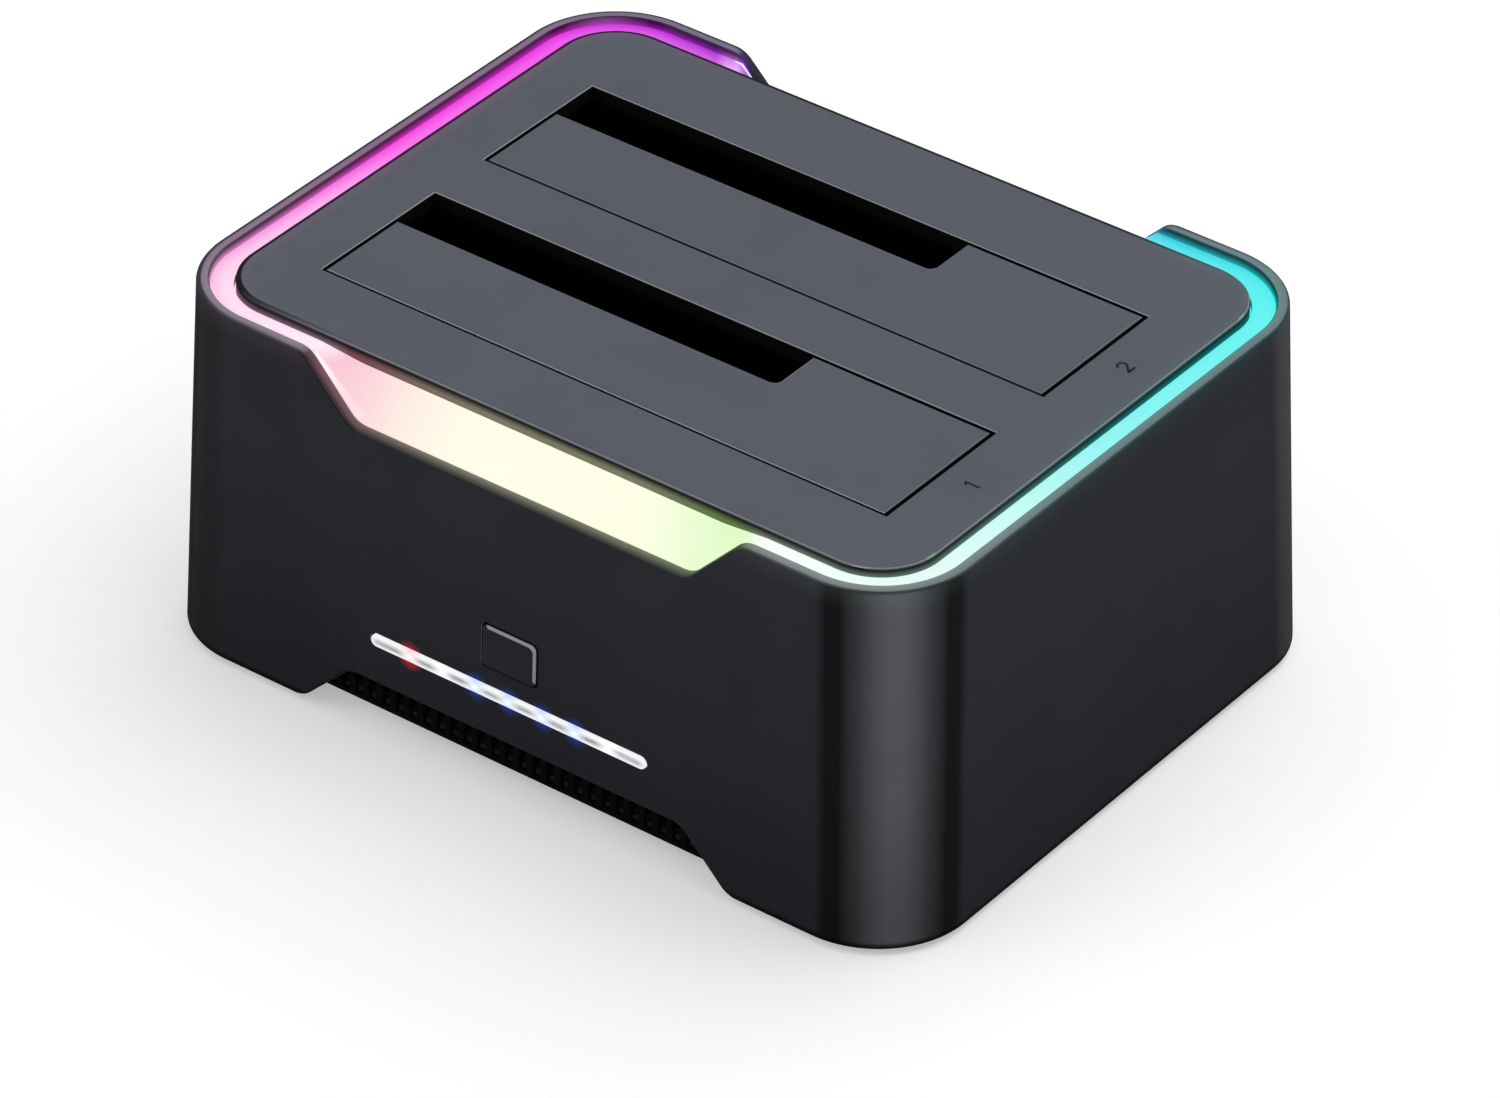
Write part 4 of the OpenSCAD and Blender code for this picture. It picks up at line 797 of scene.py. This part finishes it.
# Black epoxy: dull. Drawn aluminium: silvery and bright. Pressed ferrite: dark grey and a little rough.
dress(moulded("black epoxy", "#16171a", 0.4, 0.004, 0.55, 0.3), "board_chips")
dress(moulded("drawn aluminium can", "#b4b8be", 0.8, 0.002, 0.3, 0.5, metallic=1), "board_capacitors")
dress(moulded("pressed ferrite", "#4a4c50", 0.5, 0.01, 0.65, 0.3), "board_coils")

# Back panel
# Power jack and data socket stand on the main board with their collars in the back wall; the power
# switch is a bought part that snaps into its own opening, with a rocker on two stub pins.
port_ease, switch_ease = 0.15, 0.2
flat_area = 20  # in square millimetres: bigger faces stay flat
sharp_turn = math.radians(40)  # edges that turn by more are rounded


def eased_copy(name, node_name, width, material, body, slot):
    """A copy of a CAD node with its outer edges rounded and its big faces flat, to stand for the node."""
    bm = bmesh.new()
    bm.from_mesh(frame["nodes"][node_name].data)
    bmesh.ops.scale(bm, vec=(1 / MM, 1 / MM, 1 / MM), verts=bm.verts)
    bmesh.ops.remove_doubles(bm, verts=bm.verts, dist=0.003)
    bmesh.ops.dissolve_limit(bm, angle_limit=math.radians(1), verts=bm.verts, edges=bm.edges)
    edges = [e for e in bm.edges if len(e.link_faces) == 2 and e.is_convex]
    edges = [e for e in edges if e.calc_face_angle(0) > sharp_turn]
    bmesh.ops.bevel(bm, geom=edges, offset=width, segments=2, profile=0.5, affect="EDGES",
                    clamp_overlap=False)
    piece = add_piece(name, bm, material, body, slot, node_name)
    for face in piece.data.polygons:
        if face.area > flat_area * MM ** 2:
            face.use_smooth = False


# Moulded polybutylene: smooth with a low gloss, black on jack and switch and deep blue in the data socket.
port_plastic = moulded("black polybutylene, moulded", "#101114", 0.5, 0.003, 0.4, 0.3)
eased_copy("power_jack_body", "power_jack", port_ease, port_plastic, "station", "connector_plastic")
data_blue = moulded("blue polybutylene, moulded", "#1b3f8f", 0.5, 0.003, 0.4, 0.4)
eased_copy("data_socket_body", "data_socket", port_ease, data_blue, "station", "data_plastic")
eased_copy("switch_body", "switch_housing", switch_ease, port_plastic, "station", "connector_plastic")
# Satin ABS: a smoother, glossier black than the wall's.
satin_abs = moulded("black ABS, satin", "#15161a", 0.4, 0.003, 0.3, 0.3)
eased_copy("switch_rocker", "power_rocker", switch_ease, satin_abs, "rocker", "button_plastic")

# Grilles
# A slotted black ABS strip stands behind each arch on the base plate, to let cooling air in; the bars
# between its slots run down to a rail over the base plate's edge.
grille_pitch, grille_slot, grille_ends, grille_ease = 2.6, 1.2, 8, 0.12
bar_front, bar_chamfer, rail_top, rail_low = 0.5, 0.2, 1.2, 1.9
# Black ABS drawn almost black and nearly without gloss, as painted shade under the arch: next to nothing
# comes back from it but the edges of the bars.
grille_abs = moulded("black ABS, moulded strip", "#050506", 0.5, 0.003, 0.5, 0.015)
for name, side in (("front", -1), ("rear", 1)):
    low, high = mm_box(name + "_grille")
    face = side * max(abs(low.y), abs(high.y))
    last = int((high.x - low.x - grille_ends) / grille_pitch)
    lip, proud = face + side * (bar_front - bar_chamfer), face + side * bar_front
    half = (grille_pitch - grille_slot) / 2
    bm = bmesh.new()
    for k in range(last + 2):
        middle = (k - (last + 1) / 2) * grille_pitch
        profile = [(middle - half, face), (middle - half, lip), (middle - half + bar_chamfer, proud),
                   (middle + half - bar_chamfer, proud), (middle + half, lip), (middle + half, face)]
        loft(bm, [[(x, y, z) for x, y in profile] for z in (low.z - rail_top, high.z)])
    reach = (last + 1) / 2 * grille_pitch + half
    rail = [(face, low.z - rail_low), (proud, low.z - rail_low), (proud, low.z - rail_top),
            (lip, low.z - rail_top + bar_chamfer), (face, low.z - rail_top + bar_chamfer)]
    loft(bm, [[(x, y, z) for y, z in rail] for x in (-reach, reach)])
    add_piece(name + "_grille_bars", bm, grille_abs, "station", "inner_plastic")
    eased_copy(name + "_grille_strip", name + "_grille", grille_ease, grille_abs, "station", "inner_plastic")

# Base
# A black ABS plate with vent slots closes the underside with eight screws, four into the shell and four
# into the bay frame's legs; four rubber feet are stuck into its seats.
base_ease, screw_ease, foot_ease = 0.25, 0.12, 0.4
# Coarsely spark-eroded ABS: a dull black with a grain that the light picks out. Black rubber: dull, dusty.
base_abs = moulded("black ABS, coarse spark finish", "#101113", 0.7, 0.008, 0.6, 0.1)
black_rubber = moulded("black rubber", "#131315", 0.6, 0.01, 0.8, 0.2)
eased_copy("base_plate_moulding", "base_plate", base_ease, base_abs, "station", "inner_plastic")
eased_copy("base_screw_set", "base_screws", screw_ease, zinc_steel, "station", "screw_steel")
eased_copy("foot_set", "rubber_feet", foot_ease, black_rubber, "station", "rubber")

# Stage
# A matt pale studio floor, one big softbox high at the back, a weak fill from the front left and an even
# sky. Floor and sky are lifted to white only where they are seen.
bpy.ops.mesh.primitive_plane_add(size=8, location=(0, 0, 0))
floor = bpy.context.object
floor.name = "studio_floor"


def shown_rays(tree):
    """1 for rays from the camera and for those that mirror and glass send on, else 0."""
    rays = node(tree, "LightPath", {}).outputs
    seen = node(tree, "Math", {0: rays["Is Camera Ray"], 1: rays["Is Glossy Ray"]}, operation="MAXIMUM")
    return node(tree, "Math", {0: seen, 1: rays["Is Transmission Ray"]}, operation="MAXIMUM")


# Matt floor paint: pale and without gloss, so that it shows nothing but the shadow.
floor_paint, tree, shader, place = start_material("matt white floor paint")
lifted = node(tree, "Math", {0: shown_rays(tree), 1: 0.4}, operation="MULTIPLY")
feed(shader, {"Base Color": linear("#d8d8d8"), "Roughness": 0.9, "Specular IOR Level": 0.0,
              "Emission Color": (1, 1, 1, 1), "Emission Strength": lifted})
floor.data.materials.append(floor_paint)

world = bpy.data.worlds.new("studio")
bpy.context.scene.world = world
world.use_nodes = True
tree = world.node_tree
sky = node(tree, "MapRange", {"Value": shown_rays(tree), "To Min": 0.45, "To Max": 1.0})
feed(tree.nodes["Background"], {"Color": (1, 1, 1, 1), "Strength": sky})


def softbox(name, turn, height, distance, width, length, power):
    """An area lamp at an azimuth and elevation round the object, facing its middle."""
    lamp = bpy.data.lights.new(name, "AREA")
    lamp.shape, lamp.size, lamp.size_y, lamp.energy = "RECTANGLE", width, length, power
    lamp_object = bpy.data.objects.new(name, lamp)
    bpy.context.scene.collection.objects.link(lamp_object)
    a, e = math.radians(turn), math.radians(height)
    away = Vector((math.sin(a) * math.cos(e), -math.cos(a) * math.cos(e), math.sin(e)))
    middle = Vector((0, 0, 0.03))
    lamp_object.location = away * distance + middle
    lamp_object.rotation_mode = "QUATERNION"
    lamp_object.rotation_quaternion = (-away).to_track_quat("-Z", "Y")


softbox("high back softbox", turn=150, height=64, distance=0.9, width=1.0, length=1.0, power=5.6)
softbox("front fill", turn=-35, height=40, distance=0.9, width=0.6, length=0.6, power=1.2)

# The camera stands where the photograph was taken from, by a fit to the bay openings and the rim.
turn, height, roll = math.radians(36.92), math.radians(35.183), math.radians(-0.548)
camera_at = Vector((607.48, -806.0, 725.99)) * MM
sensor_w, focal_px, photo_w_px = 36, 8171.6, 1500
back = Vector((math.sin(turn) * math.cos(height), -math.cos(turn) * math.cos(height), math.sin(height)))
right = (-back).cross(Vector((0, 0, 1))).normalized()
down = (-back).cross(right)
right, down = right * math.cos(roll) + down * math.sin(roll), down * math.cos(roll) - right * math.sin(roll)
camera = bpy.data.objects.new("camera", bpy.data.cameras.new("camera"))
bpy.context.scene.collection.objects.link(camera)
camera.data.sensor_width = sensor_w
camera.data.lens = sensor_w * focal_px / photo_w_px
camera.matrix_world = Matrix.Translation(camera_at) @ Matrix((right, -down, back)).transposed().to_4x4()
bpy.context.scene.camera = camera
bpy.context.scene.view_settings.view_transform = "Standard"
